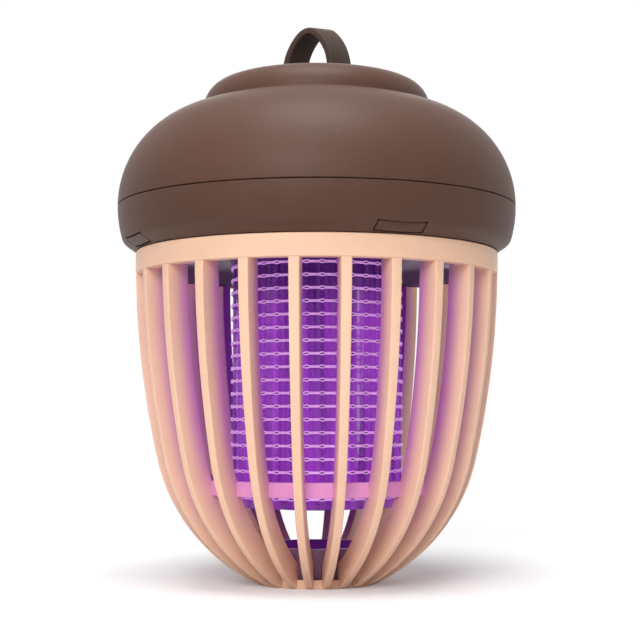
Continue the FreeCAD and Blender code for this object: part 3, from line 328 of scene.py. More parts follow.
nodeFinish = {
    "cap_dome": "capPlastic", "cap_skirt": "capPlastic", "port_cover": "capPlastic",
    "power_button": "capPlastic", "hanging_loop": "strapRubber", "ceiling_plate": "ceilingPlastic",
    "case_screws": "screwSteel", "charging_port": "screwSteel", "button_switch": "blackPlastic",
    "circuit_board": "boardLaminate", "battery_cell": "cellSleeve", "battery_cradle": "blackPlastic",
    "step_up_transformer": "ferriteDull", "storage_capacitor": "blackPlastic",
    "lamp_socket": "lampPlastic", "lamp_tube": "tubeViolet", "lamp_end_cap": "lampPlastic",
    "light_strip": "boardLaminate", "lights": "litLight",
    "grid_frame": "gridPlastic", "live_wires": "wireSteel", "earth_wires": "wireSteel",
    "live_feed": "wireSteel", "earth_feed": "wireSteel", "cage": "cagePlastic",
    "collecting_tray": "trayPlastic",
}
for name, piece in nodes.items():
    piece.data.materials.clear()
    piece.data.materials.append(materials[nodeFinish[name]])


def makeObject(name, mesh, finishName=None, angle=35):
    # a piece at the origin with smooth faces and sharp corners
    mesh.shade_smooth()
    mesh.set_sharp_from_angle(angle=math.radians(angle))
    piece = bpy.data.objects.new(name, mesh)
    bpy.context.scene.collection.objects.link(piece)
    if finishName:
        marks = [face.material_index for face in mesh.polygons]
        mesh.materials.clear()
        mesh.materials.append(materials[finishName])
        mesh.polygons.foreach_set("material_index", marks)
    return piece


def meshFrom(name, points, faces):
    # a mesh in metres from points in millimetres, merged and with its faces outwards
    form = bmesh.new()
    made = [form.verts.new(Vector(p) * mm) for p in points]
    for face in faces:
        form.faces.new([made[i] for i in face])
    bmesh.ops.remove_doubles(form, verts=form.verts, dist=1e-7)
    bmesh.ops.recalc_face_normals(form, faces=form.faces)
    mesh = bpy.data.meshes.new(name)
    form.to_mesh(mesh)
    form.free()
    return mesh


def arc(start, end, radius, steps):
    # points of an arc from start to end, which bulges to the right of that way
    start, end = Vector(start), Vector(end)
    chord = end - start
    side = Vector((chord.y, -chord.x)).normalized()
    height = math.sqrt(radius ** 2 - (chord.length / 2) ** 2)
    middle = (start + end) / 2 - side * math.copysign(height, radius)
    first = math.atan2(start.y - middle.y, start.x - middle.x)
    last = math.atan2(end.y - middle.y, end.x - middle.x)
    turn = (last - first + math.pi) % (2 * math.pi) - math.pi
    return [(middle.x + abs(radius) * math.cos(first + turn * k / steps),
             middle.y + abs(radius) * math.sin(first + turn * k / steps)) for k in range(steps + 1)]


def softened(points, radii, steps=5):
    # a closed profile with rounded corners; radii is {corner number: radius}
    result = []
    for number, point in enumerate(points):
        if number not in radii:
            result.append(tuple(point))
            continue
        here = Vector(point)
        before = Vector(points[number - 1]) - here
        after = Vector(points[(number + 1) % len(points)]) - here
        half = before.angle(after) / 2
        reach = min(radii[number] / math.tan(half), before.length * 0.49, after.length * 0.49)
        radius = reach * math.tan(half)
        centre = here + (before.normalized() + after.normalized()).normalized() * (radius / math.sin(half))
        one = here + before.normalized() * reach - centre
        two = here + after.normalized() * reach - centre
        for k in range(steps + 1):
            share = k / steps
            result.append(tuple(centre + (one * (1 - share) + two * share).normalized() * radius))
    return result


def lathe(name, profile, steps, low=0.0, high=360.0):
    # a closed profile of radius and height, turned all round or through part of a turn
    full = high - low >= 360.0
    count = steps if full else steps + 1
    points = []
    for k in range(count):
        turn = math.radians(low + (high - low) * k / steps)
        points += [(r * math.cos(turn), r * math.sin(turn), z) for r, z in profile]
    size = len(profile)
    faces = []
    for k in range(steps):
        for j in range(size):
            a, b = k * size, ((k + 1) % count) * size
            ring = [a + j, b + j, b + (j + 1) % size, a + (j + 1) % size]
            if profile[j][0] < 1e-6 and profile[(j + 1) % size][0] < 1e-6:
                continue
            if profile[j][0] < 1e-6:
                ring = [a + j, b + (j + 1) % size, a + (j + 1) % size]
            elif profile[(j + 1) % size][0] < 1e-6:
                ring = [a + j, b + j, a + (j + 1) % size]
            faces.append(ring)
    if not full:
        faces.append(list(range(size)))
        faces.append([(count - 1) * size + j for j in range(size)])
    return meshFrom(name, points, faces)


def sweep(name, rings):
    # equal rings of points joined into a closed bar
    size = len(rings[0])
    faces = [[k * size + j, k * size + (j + 1) % size, (k + 1) * size + (j + 1) % size, (k + 1) * size + j]
             for k in range(len(rings) - 1) for j in range(size)]
    faces.append(list(range(size)))
    faces.append([(len(rings) - 1) * size + j for j in range(size)])
    return meshFrom(name, [p for ring in rings for p in ring], faces)


def cutAway(piece, cutters):
    # takes the cutters' meshes out of a piece
    for cutter in cutters:
        change = piece.modifiers.new("cut", "BOOLEAN")
        change.operation = "DIFFERENCE"
        change.solver = "EXACT"
        change.object = cutter
    baked = bakeModifiers(piece)
    for cutter in cutters:
        bpy.data.objects.remove(cutter)
    return baked


def bakeModifiers(piece):
    # turns what the modifiers give into the piece's plain mesh
    graph = bpy.context.evaluated_depsgraph_get()
    mesh = bpy.data.meshes.new_from_object(piece.evaluated_get(graph), depsgraph=graph)
    piece.modifiers.clear()
    piece.data = mesh
    return piece


def joined(name, pieces, finishName, marked=()):
    # several objects as one mesh; the marked ones take its second finish
    form = bmesh.new()
    for piece in pieces:
        for face in piece.data.polygons:
            face.material_index = 1 if piece in marked else 0
        form.from_mesh(piece.data)
        bpy.data.objects.remove(piece)
    mesh = bpy.data.meshes.new(name)
    form.to_mesh(mesh)
    form.free()
    return makeObject(name, mesh, finishName)


def treeWith(name, inputs):
    # an empty geometry tree with a mesh coming in and going out, and named inputs
    tree = bpy.data.node_groups.new(name, "GeometryNodeTree")
    tree.interface.new_socket("Geometry", in_out="INPUT", socket_type="NodeSocketGeometry")
    keys = {}
    for label, kind, value in inputs:
        socket = tree.interface.new_socket(label, in_out="INPUT", socket_type=kind)
        if kind != "NodeSocketMaterial":
            socket.default_value = value
        keys[label] = socket.identifier
    tree.interface.new_socket("Geometry", in_out="OUTPUT", socket_type="NodeSocketGeometry")
    start = Sock(tree)
    entry = start.node("NodeGroupInput")
    return tree, start, entry, keys


def runTree(piece, tree, keys, values):
    change = piece.modifiers.new(tree.name, "NODES")
    change.node_group = tree
    for label, value in values.items():
        change[keys[label]] = value
    return bakeModifiers(piece)


def endCopies(start, entry, spots):
    # real copies of the incoming mesh at the spots, in the given finish
    copies = start.node("GeometryNodeInstanceOnPoints", None, {**spots, "Instance": entry.out("Geometry")})
    real = start.node("GeometryNodeRealizeInstances", None, {"Geometry": copies})
    dressed = start.node("GeometryNodeSetMaterial", None,
                         {"Geometry": real, "Material": entry.out("Finish")})
    start.node("NodeGroupOutput", None, {0: dressed})


def ringTree():
    # copies of the incoming mesh evenly round the upright axis
    tree, start, entry, keys = treeWith("copiesRound", [
        ("Count", "NodeSocketInt", 24), ("First Angle", "NodeSocketFloat", 0.0),
        ("Finish", "NodeSocketMaterial", None)])
    spots = start.node("GeometryNodeMeshLine", {"mode": "OFFSET"},
                       {"Count": entry.out("Count"), "Offset": (0.0, 0.0, 0.0)})
    number = start.node("GeometryNodeInputIndex")
    turn = number * (2 * math.pi) / entry.out("Count") + entry.out("First Angle")
    turned = start.node("ShaderNodeCombineXYZ", None, {"Z": turn})
    endCopies(start, entry, {"Points": spots, "Rotation": turned})
    return tree, keys


def stackTree():
    # copies of the incoming mesh one above the other
    tree, start, entry, keys = treeWith("copiesUp", [
        ("Count", "NodeSocketInt", 10), ("First Height", "NodeSocketFloat", 0.0),
        ("Pitch", "NodeSocketFloat", 0.007), ("Finish", "NodeSocketMaterial", None)])
    first = start.node("ShaderNodeCombineXYZ", None, {"Z": entry.out("First Height")})
    step = start.node("ShaderNodeCombineXYZ", None, {"Z": entry.out("Pitch")})
    spots = start.node("GeometryNodeMeshLine", {"mode": "OFFSET"},
                       {"Count": entry.out("Count"), "Start Location": first, "Offset": step})
    endCopies(start, entry, {"Points": spots})
    return tree, keys


aroundTree, aroundKeys = ringTree()
upTree, upKeys = stackTree()

# cage: band, ribs, hoop and base disc of one moulding
cage = {
    "bandRadius": 50.5, "bandLow": 85.3, "bandTop": 91.3, "sideLevel": 90.0, "sideBend": 250.0,
    "shoulderLevel": 34.0, "footRadius": 16.8, "ribDepth": 6.5, "ribWidth": 2.8, "ribFootWidth": 2.0,
    "ribCount": 24, "ribRecess": 0.08, "ribEdge": 0.32, "ribInBand": 0.03, "ribInBase": 0.6,
    "ribShallow": 0.7,
    "sideSteps": 24, "lowerSteps": 40, "baseThick": 2.4, "neckBore": 46.6,
    "bandRounds": {0: 0.3, 1: 0.45, 3: 0.4, 4: 0.3}, "round": 0.3,
    "bandSteps": 240, "hoopSteps": 192, "discSteps": 144, "channelSteps": 16, "entrySteps": 8,
    "hoopLow": 25.1, "hoopHigh": 29.0, "hoopDepth": 1.75, "hoopBite": 1.2,
    "lugLow": 86.3, "lugHigh": 88.5, "channelRadius": 48.0, "lugFree": 13.6, "twist": 18.0, "lugCount": 4,
}


def cageCurves(c):
    # centres of the side curve and of the lower curve, and the lower curve's radius
    sideX = c["bandRadius"] - c["sideBend"]
    rise = c["sideLevel"] - c["shoulderLevel"]
    cornerX = sideX + math.sqrt(c["sideBend"] ** 2 - rise ** 2)
    reach = c["footRadius"] - cornerX
    lowerBend = (reach ** 2 + c["shoulderLevel"] ** 2) * c["sideBend"] / 2 / (
        reach * (sideX - cornerX) - c["shoulderLevel"] * rise)
    lowerX = cornerX + (sideX - cornerX) * lowerBend / c["sideBend"]
    lowerZ = c["shoulderLevel"] + rise * lowerBend / c["sideBend"]
    return (sideX, c["sideLevel"]), (lowerX, lowerZ), lowerBend


def ribRings(c):
    # rounded cross sections of one rib from the band down to the base
    side, lower, lowerBend = cageCurves(c)
    stations = []
    top = math.asin((c["bandLow"] + c["ribInBand"] - side[1]) / c["sideBend"])
    turn = math.asin((c["shoulderLevel"] - side[1]) / c["sideBend"])
    foot = math.asin(-lower[1] / lowerBend)
    for k in range(c["sideSteps"] + 1):
        stations.append((side, c["sideBend"], top + (turn - top) * k / c["sideSteps"]))
    for k in range(1, c["lowerSteps"] + 1):
        stations.append((lower, lowerBend, turn + (foot - turn) * k / c["lowerSteps"]))
    root = c["footRadius"] - c["ribInBase"]
    rings = []
    for centre, radius, angle in stations:
        out = Vector((math.cos(angle), math.sin(angle)))
        outer = Vector(centre) + out * (radius - c["ribRecess"])
        depth = min(c["ribDepth"] - c["ribRecess"], max(c["ribShallow"], (outer.x - root) / out.x))
        height = max(0.0, outer.y) / c["bandLow"]
        half = (c["ribFootWidth"] + (c["ribWidth"] - c["ribFootWidth"]) * min(1.0, height)) / 2
        edge = min(c["ribEdge"], depth * 0.4, half * 0.6)
        ring = []
        for across, inward, first in ((half, 0, 0), (half, depth, 1), (-half, depth, 2), (-half, 0, 3)):
            middleY = across - math.copysign(edge, across)
            middleD = inward + (edge if inward == 0 else -edge)
            for step in range(4):
                # each corner turns a quarter of a circle, from the outer face round the section
                bend = math.radians([90, 0, -90, -180][first] - step * 30)
                y = middleY + edge * math.cos(bend)
                d = middleD - edge * math.sin(bend)
                spot = outer - out * d
                ring.append((spot.x, y, max(0.0, spot.y)))
        rings.append(ring)
    return rings


def makeCage(c):
    rib = makeObject("ribs", sweep("rib", ribRings(c)), "cagePlastic")
    ribs = runTree(rib, aroundTree, aroundKeys,
                   {"Count": c["ribCount"], "First Angle": 0.0, "Finish": materials["cagePlastic"]})
    side, lower, lowerBend = cageCurves(c)
    low = side[0] + math.sqrt(c["sideBend"] ** 2 - (side[1] - c["bandLow"]) ** 2)
    band = makeObject("band", lathe("band", softened([
        (c["neckBore"], c["bandLow"]), (low, c["bandLow"]), (c["bandRadius"], c["sideLevel"]),
        (c["bandRadius"], c["bandTop"]), (c["neckBore"], c["bandTop"])], c["bandRounds"]), c["bandSteps"]))
    free = c["lugFree"]
    cutters = []
    for number in range(c["lugCount"]):
        middle = number * 360 / c["lugCount"]
        channel = [(c["neckBore"] - 1, c["lugLow"]), (c["channelRadius"], c["lugLow"]),
                   (c["channelRadius"], c["lugHigh"]), (c["neckBore"] - 1, c["lugHigh"])]
        entry = [(r, z if z == c["lugLow"] else c["bandTop"] + 1) for r, z in channel]
        first, last = middle - c["twist"] - free / 2, middle + free / 2
        cutters.append(makeObject("channel", lathe("channel", channel, c["channelSteps"], first, last)))
        cutters.append(makeObject("entry", lathe("entry", entry, c["entrySteps"], first, first + free)))
    band = cutAway(band, cutters)
    middleLevel = (c["hoopLow"] + c["hoopHigh"]) / 2
    inner = lower[0] + math.sqrt((lowerBend - c["ribDepth"]) ** 2 - (lower[1] - middleLevel) ** 2)
    hoop = makeObject("hoop", lathe("hoop", softened([
        (inner - c["hoopDepth"], c["hoopLow"]), (inner + c["hoopBite"], c["hoopLow"]),
        (inner + c["hoopBite"], c["hoopHigh"]), (inner - c["hoopDepth"], c["hoopHigh"])],
        dict.fromkeys(range(4), c["round"])), c["hoopSteps"]))
    disc = makeObject("disc", lathe("disc", softened([
        (0, 0), (c["footRadius"], 0), (c["footRadius"], c["baseThick"]), (0, c["baseThick"])],
        dict.fromkeys((1, 2), c["round"])), c["discSteps"]))
    piece = joined("cageShell", [ribs, band, hoop, disc], "cagePlastic", [hoop])
    # the hoop takes the cage's plastic with painted violet lamp light and a painted glow
    piece.data.materials.append(materials["hoopPaintedLampLight"])
    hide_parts("cage")
    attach(piece, "cage")
    return piece


makeCage(cage)
print("cage made")

# cap: dome and skirt, with the strap's slots and the windows for the port cover and the button
cap = {
    "radius": 55.6, "wall": 2.2, "lipRadius": 50.5, "lipLevel": 91.5, "turnOut": 3.5, "turnRise": 2.4,
    "skirtBend": 33.0, "skirtSkin": 2.0, "floorBore": 44.0, "floorThick": 1.3, "parting": 104.1,
    "gap": 0.26,
    "lipHeight": 1.9, "tongueInset": 1.0, "tongueGap": 0.2, "domeBend": 28.5, "collarRadius": 31.9,
    "collarBend": 7.5, "crownRadius": 24.9, "crownLow": 139.76, "top": 141.3, "topWall": 2.5,
    "hollowInset": 1.5, "topFlat": 21.3, "crease": ((0.4, -0.06), (0.12, 0.08), (0.0, 0.35)),
    "windowLow": 0.1, "windowEnd": 0.1, "windowWide": 14.0, "windowDeep": 3.6, "windowOut": 3.0,
    "windowAngles": (-30, -120), "slotHalfWide": 5.1, "slotInner": 6.48, "slotOuter": 9.12,
    "slotRound": 0.4,
    "slotLevels": (-6.0, 2.0), "partingRound": 0.16, "turnRound": 1.0, "turnSoft": (-0.16, 0.06),
    "steps": 256, "sharpFrom": 28.0,
}


def slant(c, along, deep):
    length = math.hypot(c["turnOut"], c["turnRise"])
    return (c["lipRadius"] + (along * c["turnOut"] - deep * c["turnRise"]) / length,
            c["lipLevel"] + (along * c["turnRise"] + deep * c["turnOut"]) / length)


def boxBetween(name, profile, wide, angle):
    # a bar with a profile of radius and height, across one direction of the cap
    turn = Matrix.Rotation(math.radians(angle), 3, "Z")
    rings = [[tuple(turn @ Vector((r, side * wide / 2, z))) for r, z in profile] for side in (-1, 1)]
    return makeObject(name, sweep(name, rings))


def block(name, x0, x1, half, rounding, levels):
    # an upright block, even about the X axis, with rounded upright edges
    corners = softened([(x0, -half), (x1, -half), (x1, half), (x0, half)],
                       dict.fromkeys(range(4), rounding), 3)
    return makeObject(name, sweep(name, [[(x, y, z) for x, y in corners] for z in levels]))


def makeDome(c):
    domeX = c["radius"] - c["domeBend"]
    crease = c["parting"] + math.sqrt(c["domeBend"] ** 2 - (c["collarRadius"] - domeX) ** 2)
    innerBend = c["domeBend"] - c["wall"]
    hollow = c["collarRadius"] - c["hollowInset"] * c["wall"]
    tongueTop = c["parting"] + c["lipHeight"]
    tongue = c["radius"] - c["tongueInset"] + c["tongueGap"]
    rim = domeX + math.sqrt(innerBend ** 2 - c["lipHeight"] ** 2)
    inner = arc((hollow, c["parting"] + math.sqrt(innerBend ** 2 - (hollow - domeX) ** 2)),
                (rim, tongueTop), -innerBend, 30)
    # three points round the crease between the dome and the collar
    below, blend, above = [(c["collarRadius"] + out, crease + up) for out, up in c["crease"]]
    outer = arc((c["radius"], c["parting"] + c["partingRound"]), below, c["domeBend"], 60)
    collar = arc(above, (c["crownRadius"], c["crownLow"]), c["collarBend"], 30)
    crown = [(c["crownRadius"] * (1 - k / 12),
              c["top"] - (c["top"] - c["crownLow"]) * (1 - k / 12) ** 2) for k in range(1, 13)]
    profile = [(0, c["top"] - c["topWall"]), (c["topFlat"], c["top"] - c["topWall"]), (hollow, crease)]
    profile += inner
    profile += [(tongue, tongueTop), (tongue, c["parting"]),
                (c["radius"] - c["partingRound"], c["parting"])]
    profile += outer + [blend] + collar + crown
    dome = makeObject("capDome", lathe("capDome", profile, c["steps"]))
    cutters = []
    for side in (-1, 1):
        x0, x1 = sorted((side * c["slotInner"], side * c["slotOuter"]))
        half = c["slotHalfWide"]
        levels = [c["top"] + level for level in c["slotLevels"]]
        cutters.append(block("slot", x0, x1, half, c["slotRound"], levels))
    cutAway(dome, cutters)
    dressCap(dome, "cap_dome", "head")


def makeSkirt(c):
    turn = (c["lipRadius"] + c["turnOut"], c["lipLevel"] + c["turnRise"])
    length = math.hypot(c["turnOut"], c["turnRise"])
    wallRadius = c["radius"] - c["wall"]
    innerTurn = slant(c, length, c["skirtSkin"])
    floorAlong = (c["floorThick"] * length - c["skirtSkin"] * c["turnOut"]) / c["turnRise"]
    high = c["parting"] - c["gap"]
    profile = [(c["floorBore"], c["lipLevel"]), (c["lipRadius"], c["lipLevel"])]
    side = arc(turn, (c["radius"], high - c["partingRound"]), c["skirtBend"], 24)
    # the turn into the side is rounded with given points, because a line meets a curve there
    ahead = Vector(turn) - Vector((c["lipRadius"], c["lipLevel"]))
    before = Vector(turn) - ahead.normalized() * c["turnRound"]
    softTurn = [tuple(before), (turn[0] + c["turnSoft"][0], turn[1] + c["turnSoft"][1]), side[2]]
    profile += softTurn + side[3:]
    profile += [(c["radius"] - c["partingRound"], high), (c["radius"] - c["tongueInset"], high),
                (c["radius"] - c["tongueInset"], c["parting"] + c["lipHeight"]),
                (wallRadius, c["parting"] + c["lipHeight"]),
                (wallRadius, innerTurn[1] + c["wall"]), innerTurn,
                slant(c, floorAlong, c["skirtSkin"]), (c["floorBore"], c["lipLevel"] + c["floorThick"])]
    skirt = makeObject("capSkirt", lathe("capSkirt", profile, c["steps"]))
    low, high = c["windowLow"], length - c["windowEnd"]
    out, deep = -c["windowOut"], c["windowDeep"]
    window = [slant(c, low, out), slant(c, high, out), slant(c, high, deep), slant(c, low, deep)]
    cutters = [boxBetween("window", window, c["windowWide"], angle) for angle in c["windowAngles"]]
    cutAway(skirt, cutters)
    dressCap(skirt, "cap_skirt", "head")


def dressCap(piece, node, body):
    piece.data.shade_smooth()
    piece.data.set_sharp_from_angle(angle=math.radians(cap["sharpFrom"]))
    piece.data.materials.clear()
    piece.data.materials.append(materials[nodeFinish[node]])
    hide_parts(node)
    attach(piece, body)


makeDome(cap)
makeSkirt(cap)
print("cap made")

# strap loop: a flat band with soft edges, bent over the top and held under it by thick stops;
# being soft, it leans a little across its width
strap = {
    "wide": 9.6, "thick": 2.0, "top": 155.85, "round": 5.35, "roundAngle": 40.0, "legBend": 15.0,
    "edge": 0.5,
    "lean": 0.154, "leanFrom": 141.3, "under": 138.8, "tail": 0.4, "steps": 24,
    "stopThick": 2.0, "stopReach": 1.6, "stopRound": 0.5,
}


def makeStrap(s):
    bend = math.radians(s["roundAngle"])
    roundZ = s["top"] - s["round"]
    legX = s["round"] * math.sin(bend) - s["legBend"] * math.sin(bend)
    legZ = roundZ + s["round"] * math.cos(bend) - s["legBend"] * math.cos(bend)
    last = math.pi / 2
    steps = s["steps"]
    stations = [((0.0, roundZ), s["round"], bend * k / steps) for k in range(steps + 1)]
    for k in range(1, steps + 1):
        stations.append(((legX, legZ), s["legBend"], bend + (last - bend) * k / steps))
    stations.append(((legX, s["under"] - s["tail"]), s["legBend"], last))
    middle = [((-c[0], c[1]), r, -a) for c, r, a in reversed(stations[1:])] + stations
    half, edge = s["wide"] / 2, s["edge"]
    rings = []
    for centre, radius, angle in middle:
        out = Vector((math.sin(angle), math.cos(angle)))
        section = softened([(-half, 0), (half, 0), (half, s["thick"]), (-half, s["thick"])],
                           dict.fromkeys(range(4), edge), 4)
        ring = []
        for y, depth in section:
            spot = Vector(centre) + out * (radius - depth)
            share = max(0.0, spot.y - s["leanFrom"]) / (s["top"] - s["leanFrom"])
            ring.append((spot.x, y, spot.y + s["lean"] * y * share))
        rings.append(ring)
    band = makeObject("band", sweep("strap", rings))
    outer = legX + s["legBend"]
    inner = outer - s["thick"]
    stops = []
    for side in (-1, 1):
        x0, x1 = sorted((side * (inner - s["stopReach"]), side * (outer + s["stopReach"])))
        levels = (s["under"] - s["stopThick"], s["under"])
        stops.append(block("stop", x0, x1, half, s["stopRound"], levels))
    piece = joined("strapLoop", [band] + stops, "strapRubber")
    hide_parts("hanging_loop")
    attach(piece, "head")


makeStrap(strap)
print("strap made")

# wire grid: each level wire is two strands that part round every upright bar
wires = {
    "radius": 23.8, "bars": 36, "strand": 0.2, "eyeHigh": 0.2, "eyeLong": 0.2, "bow": 0.08,
    "rowLow": 24.1, "pitch": 3.49, "rows": 19, "sections": 6,
    "phases": (0.0, 0.05, 0.1, 0.15, 0.2, 0.35, 0.65, 0.8, 0.85, 0.9, 0.95),
    "notchRadius": 23.62, "notchLong": 1.15, "notchHigh": 0.4, "notchDeep": 0.16,
}


def strandMesh(w, side):
    stations = [(bar, phase) for bar in range(w["bars"]) for phase in w["phases"]]
    steps = len(stations)
    rings = []
    for bar, phase in stations:
        turn = 2 * math.pi * (bar + phase) / w["bars"]
        near = min(1.0, min(phase, 1.0 - phase) / w["eyeLong"])
        part = max(0.0, math.cos(near * math.pi / 2)) ** 1.3
        level = side * (w["strand"] * 0.85 + w["eyeHigh"] * part)
        radius = w["radius"] - w["bow"] * (1 - abs(1 - 2 * phase))
        ring = []
        for j in range(w["sections"]):
            angle = 2 * math.pi * j / w["sections"]
            r = radius + w["strand"] * math.cos(angle)
            ring.append((r * math.cos(turn), r * math.sin(turn), level + w["strand"] * math.sin(angle)))
        rings.append(ring)
    size = w["sections"]
    faces = [[k * size + j, k * size + (j + 1) % size, ((k + 1) % steps) * size + (j + 1) % size,
              ((k + 1) % steps) * size + j] for k in range(steps) for j in range(size)]
    return makeObject("strand", meshFrom("strand", [p for ring in rings for p in ring], faces))


def makeWires(w):
    for name, node, first, count in (("liveWires", "live_wires", 0, (w["rows"] + 1) // 2),
                                     ("earthWires", "earth_wires", 1, w["rows"] // 2)):
        ring = joined(name, [strandMesh(w, 1), strandMesh(w, -1)], "wireSteel")
        runTree(ring, upTree, upKeys, {
            "Count": count, "First Height": (w["rowLow"] + first * w["pitch"]) * mm,
            "Pitch": 2 * w["pitch"] * mm, "Finish": materials["wireSteel"]})
        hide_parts(node)
        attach(ring, "head")


def makeNotchShade(w):
    # dark pieces in the bars' notches, seen through the eyes of the wires: painted shade
    form = bmesh.new()
    bmesh.ops.create_icosphere(form, subdivisions=1, radius=1.0)
    mesh = bpy.data.meshes.new("notch")
    form.to_mesh(mesh)
    form.free()
    mesh.transform(Matrix.Diagonal((w["notchDeep"] * mm, w["notchLong"] * mm / 2,
                                    w["notchHigh"] * mm / 2, 1.0)))
    mesh.transform(Matrix.Translation((w["notchRadius"] * mm, 0, 0)))
    piece = makeObject("wireNotchShade", mesh, "notchPaintedShade", 80)
    runTree(piece, aroundTree, aroundKeys, {"Count": w["bars"], "First Angle": 0.0,
                                            "Finish": materials["notchPaintedShade"]})
    runTree(piece, upTree, upKeys, {"Count": w["rows"], "First Height": w["rowLow"] * mm,
                                    "Pitch": w["pitch"] * mm, "Finish": materials["notchPaintedShade"]})
    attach(piece, "head")


makeWires(wires)
makeNotchShade(wires)
print("wires made")

# smooth copies of turned solids that show through the ribs
smoothCopies = {
    "collecting_tray": ("trayDish", "tray", "cage"), "lamp_tube": ("lampTube", "tube", "head"),
    "lamp_end_cap": ("lampFoot", "lamp_plastic", "head"), "lamp_socket": ("lampHead", "lamp_plastic",
    "head"),
    "ceiling_plate": ("ceilingPlate", "ceiling", "head"), "grid_frame": ("gridDrum", "grid_plastic",
    "head"),
}
for node, (name, slotName, body) in smoothCopies.items():
    form = bmesh.new()
    form.from_mesh(nodes[node].data)
    bmesh.ops.remove_doubles(form, verts=form.verts, dist=2e-6)
    mesh = bpy.data.meshes.new(name)
    form.to_mesh(mesh)
    form.free()
    copy = makeObject(name, mesh, nodeFinish[node], 30)
    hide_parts(node)
    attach(copy, body)
print("smooth copies made")

# screws: pan heads with a cross recess
screw = {
    "head": 2.8, "thick": 1.6, "shank": 1.45, "length": 12.0, "level": 89.5, "circle": 37.0, "count": 4,
    "firstAngle": 45.0, "slotWide": 0.7, "slotLong": 3.0, "slotDeep": 0.9, "slotOut": 1.0,
    "faceShare": 0.62, "headRise": 1.0, "headBend": 1.3, "point": 0.3, "pointLong": 1.0, "steps": 32,
}


def makeScrews(s):
    low = s["level"] - s["thick"]
    end = s["level"] + s["length"]
    profile = [(0, low)]
    profile += arc((s["head"] * s["faceShare"], low), (s["head"], low + s["headRise"]), s["headBend"], 8)
    profile += [(s["head"], s["level"]), (s["shank"], s["level"]), (s["shank"], end - s["pointLong"]),
                (s["point"], end), (0, end)]
    body = makeObject("screws", lathe("screw", profile, s["steps"]))
    cutters = []
    for long, wide in ((s["slotLong"], s["slotWide"]), (s["slotWide"], s["slotLong"])):
        x, y = long / 2, wide / 2
        corners = [(-x, -y), (x, -y), (x, y), (-x, y)]
        rings = [[(*corner, z) for corner in corners] for z in (low - s["slotOut"], low + s["slotDeep"])]
        cutters.append(makeObject("recess", sweep("recess", rings)))
    body = cutAway(body, cutters)
    body.data.transform(Matrix.Translation((s["circle"] * mm, 0, 0)))
    body.data.shade_smooth()
    body.data.set_sharp_from_angle(angle=math.radians(30))
    runTree(body, aroundTree, aroundKeys, {
        "Count": s["count"], "First Angle": math.radians(s["firstAngle"]), "Finish": materials["screwSteel"]})
    body.name = "caseScrews"
    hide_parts("case_screws")
    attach(body, "head")


makeScrews(screw)
print("screws made")

# stage: a pale floor under soft light
stage = {
    "floorSize": 40.0, "floorColour": (0.86, 0.86, 0.86, 1.0), "floorLift": 0.16, "worldLight": 0.20,
    "whiteFrom": (0.09, 0.26),
    "camera": (0.2397, -0.3240, 0.0460), "lens": 81.0, "pitch": 3.81, "yaw": 0.13,
    "lampAim": (0.0, 0.0, 0.08),
    "lamps": {  # size, power and place
        "keyLight": (0.6, 6.75, (0.386, -0.868, 0.55)),
        "topLight": (0.55, 6.5, (0.10, -0.16, 0.9)),
        "backLight": (0.6, 2.0, (-0.565, 0.764, 0.5)),
    },
}


def whiteRays(start):
    # 1 for the rays that see the backdrop, which is white to them
    path = start.node("ShaderNodeLightPath")
    seen = start.math("MAXIMUM", path.out("Is Camera Ray"), path.out("Is Glossy Ray"))
    return start.math("MAXIMUM", seen, path.out("Is Transmission Ray"))


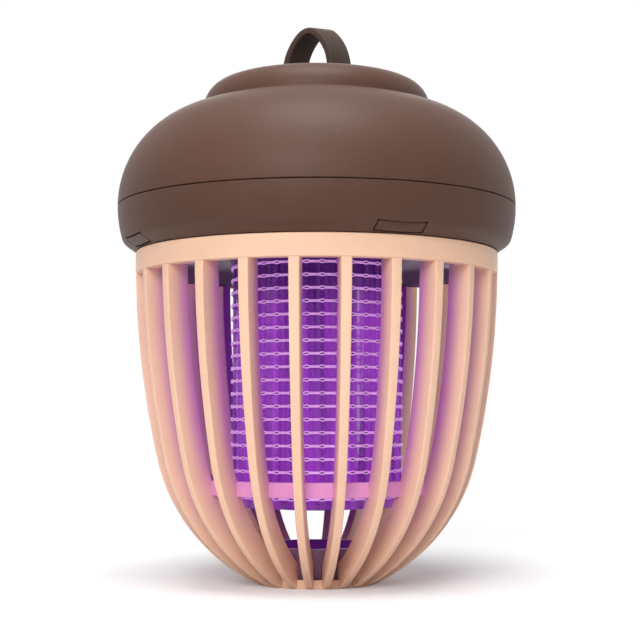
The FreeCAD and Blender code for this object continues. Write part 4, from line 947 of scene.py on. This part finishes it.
def makeFloor(s):
    half = s["floorSize"] / 2
    mesh = bpy.data.meshes.new("floor")
    corners = [(-half, -half, 0), (half, -half, 0), (half, half, 0), (-half, half, 0)]
    mesh.from_pydata(corners, [], [(0, 1, 2, 3)])
    floor = bpy.data.objects.new("floor", mesh)
    bpy.context.scene.collection.objects.link(floor)
    material, start = startMaterial("paleFloor")
    seen = whiteRays(start)
    place = start.node("ShaderNodeTexCoord").out("Object")
    away = start.node("ShaderNodeVectorMath", {"operation": "LENGTH"}, {0: place}, 1)
    matt = start.node("ShaderNodeBsdfDiffuse", None, {"Color": s["floorColour"]})
    lift = start.node("ShaderNodeEmission", None,
                      {"Color": (1, 1, 1, 1), "Strength": seen * s["floorLift"]})
    close = start.node("ShaderNodeAddShader", None, {0: matt, 1: lift})
    white = start.node("ShaderNodeEmission", None, {"Color": (1, 1, 1, 1), "Strength": 1.0})
    far = away.between(*s["whiteFrom"]) * seen
    endMaterial(start, start.node("ShaderNodeMixShader", None, {0: far, 1: close, 2: white}))
    floor.data.materials.append(material)


def makeWorld(s):
    world = bpy.data.worlds.new("softRoom")
    bpy.context.scene.world = world
    world.use_nodes = True
    world.node_tree.nodes.clear()
    start = Sock(world.node_tree)
    strength = whiteRays(start) * (1.0 - s["worldLight"]) + s["worldLight"]
    shader = start.node("ShaderNodeBackground", None, {"Color": (1, 1, 1, 1), "Strength": strength})
    start.node("ShaderNodeOutputWorld", None, {"Surface": shader})


def makeLamps(s):
    for name, (size, power, place) in s["lamps"].items():
        light = bpy.data.lights.new(name, "AREA")
        light.shape = "DISK"
        light.size = size
        light.energy = power
        lamp = bpy.data.objects.new(name, light)
        bpy.context.scene.collection.objects.link(lamp)
        lamp.location = place
        lamp.rotation_mode = "QUATERNION"
        lamp.rotation_quaternion = (Vector(s["lampAim"]) - Vector(place)).to_track_quat("-Z", "Y")


def makeCamera(s):
    data = bpy.data.cameras.new("photoCamera")
    data.sensor_width = 36.0
    data.lens = s["lens"]
    data.clip_start = 0.01
    data.clip_end = 50.0
    camera = bpy.data.objects.new("photoCamera", data)
    bpy.context.scene.collection.objects.link(camera)
    camera.location = s["camera"]
    ahead = Vector((-s["camera"][0], -s["camera"][1], 0)).normalized()
    ahead = Matrix.Rotation(math.radians(-s["yaw"]), 3, "Z") @ ahead
    pitch = math.radians(s["pitch"])
    look = ahead * math.cos(pitch) + Vector((0, 0, math.sin(pitch)))
    camera.rotation_mode = "QUATERNION"
    camera.rotation_quaternion = look.to_track_quat("-Z", "Y")
    bpy.context.scene.camera = camera


makeFloor(stage)
makeWorld(stage)
makeLamps(stage)
makeCamera(stage)
bpy.context.scene.view_settings.view_transform = "Standard"
print("stage made")
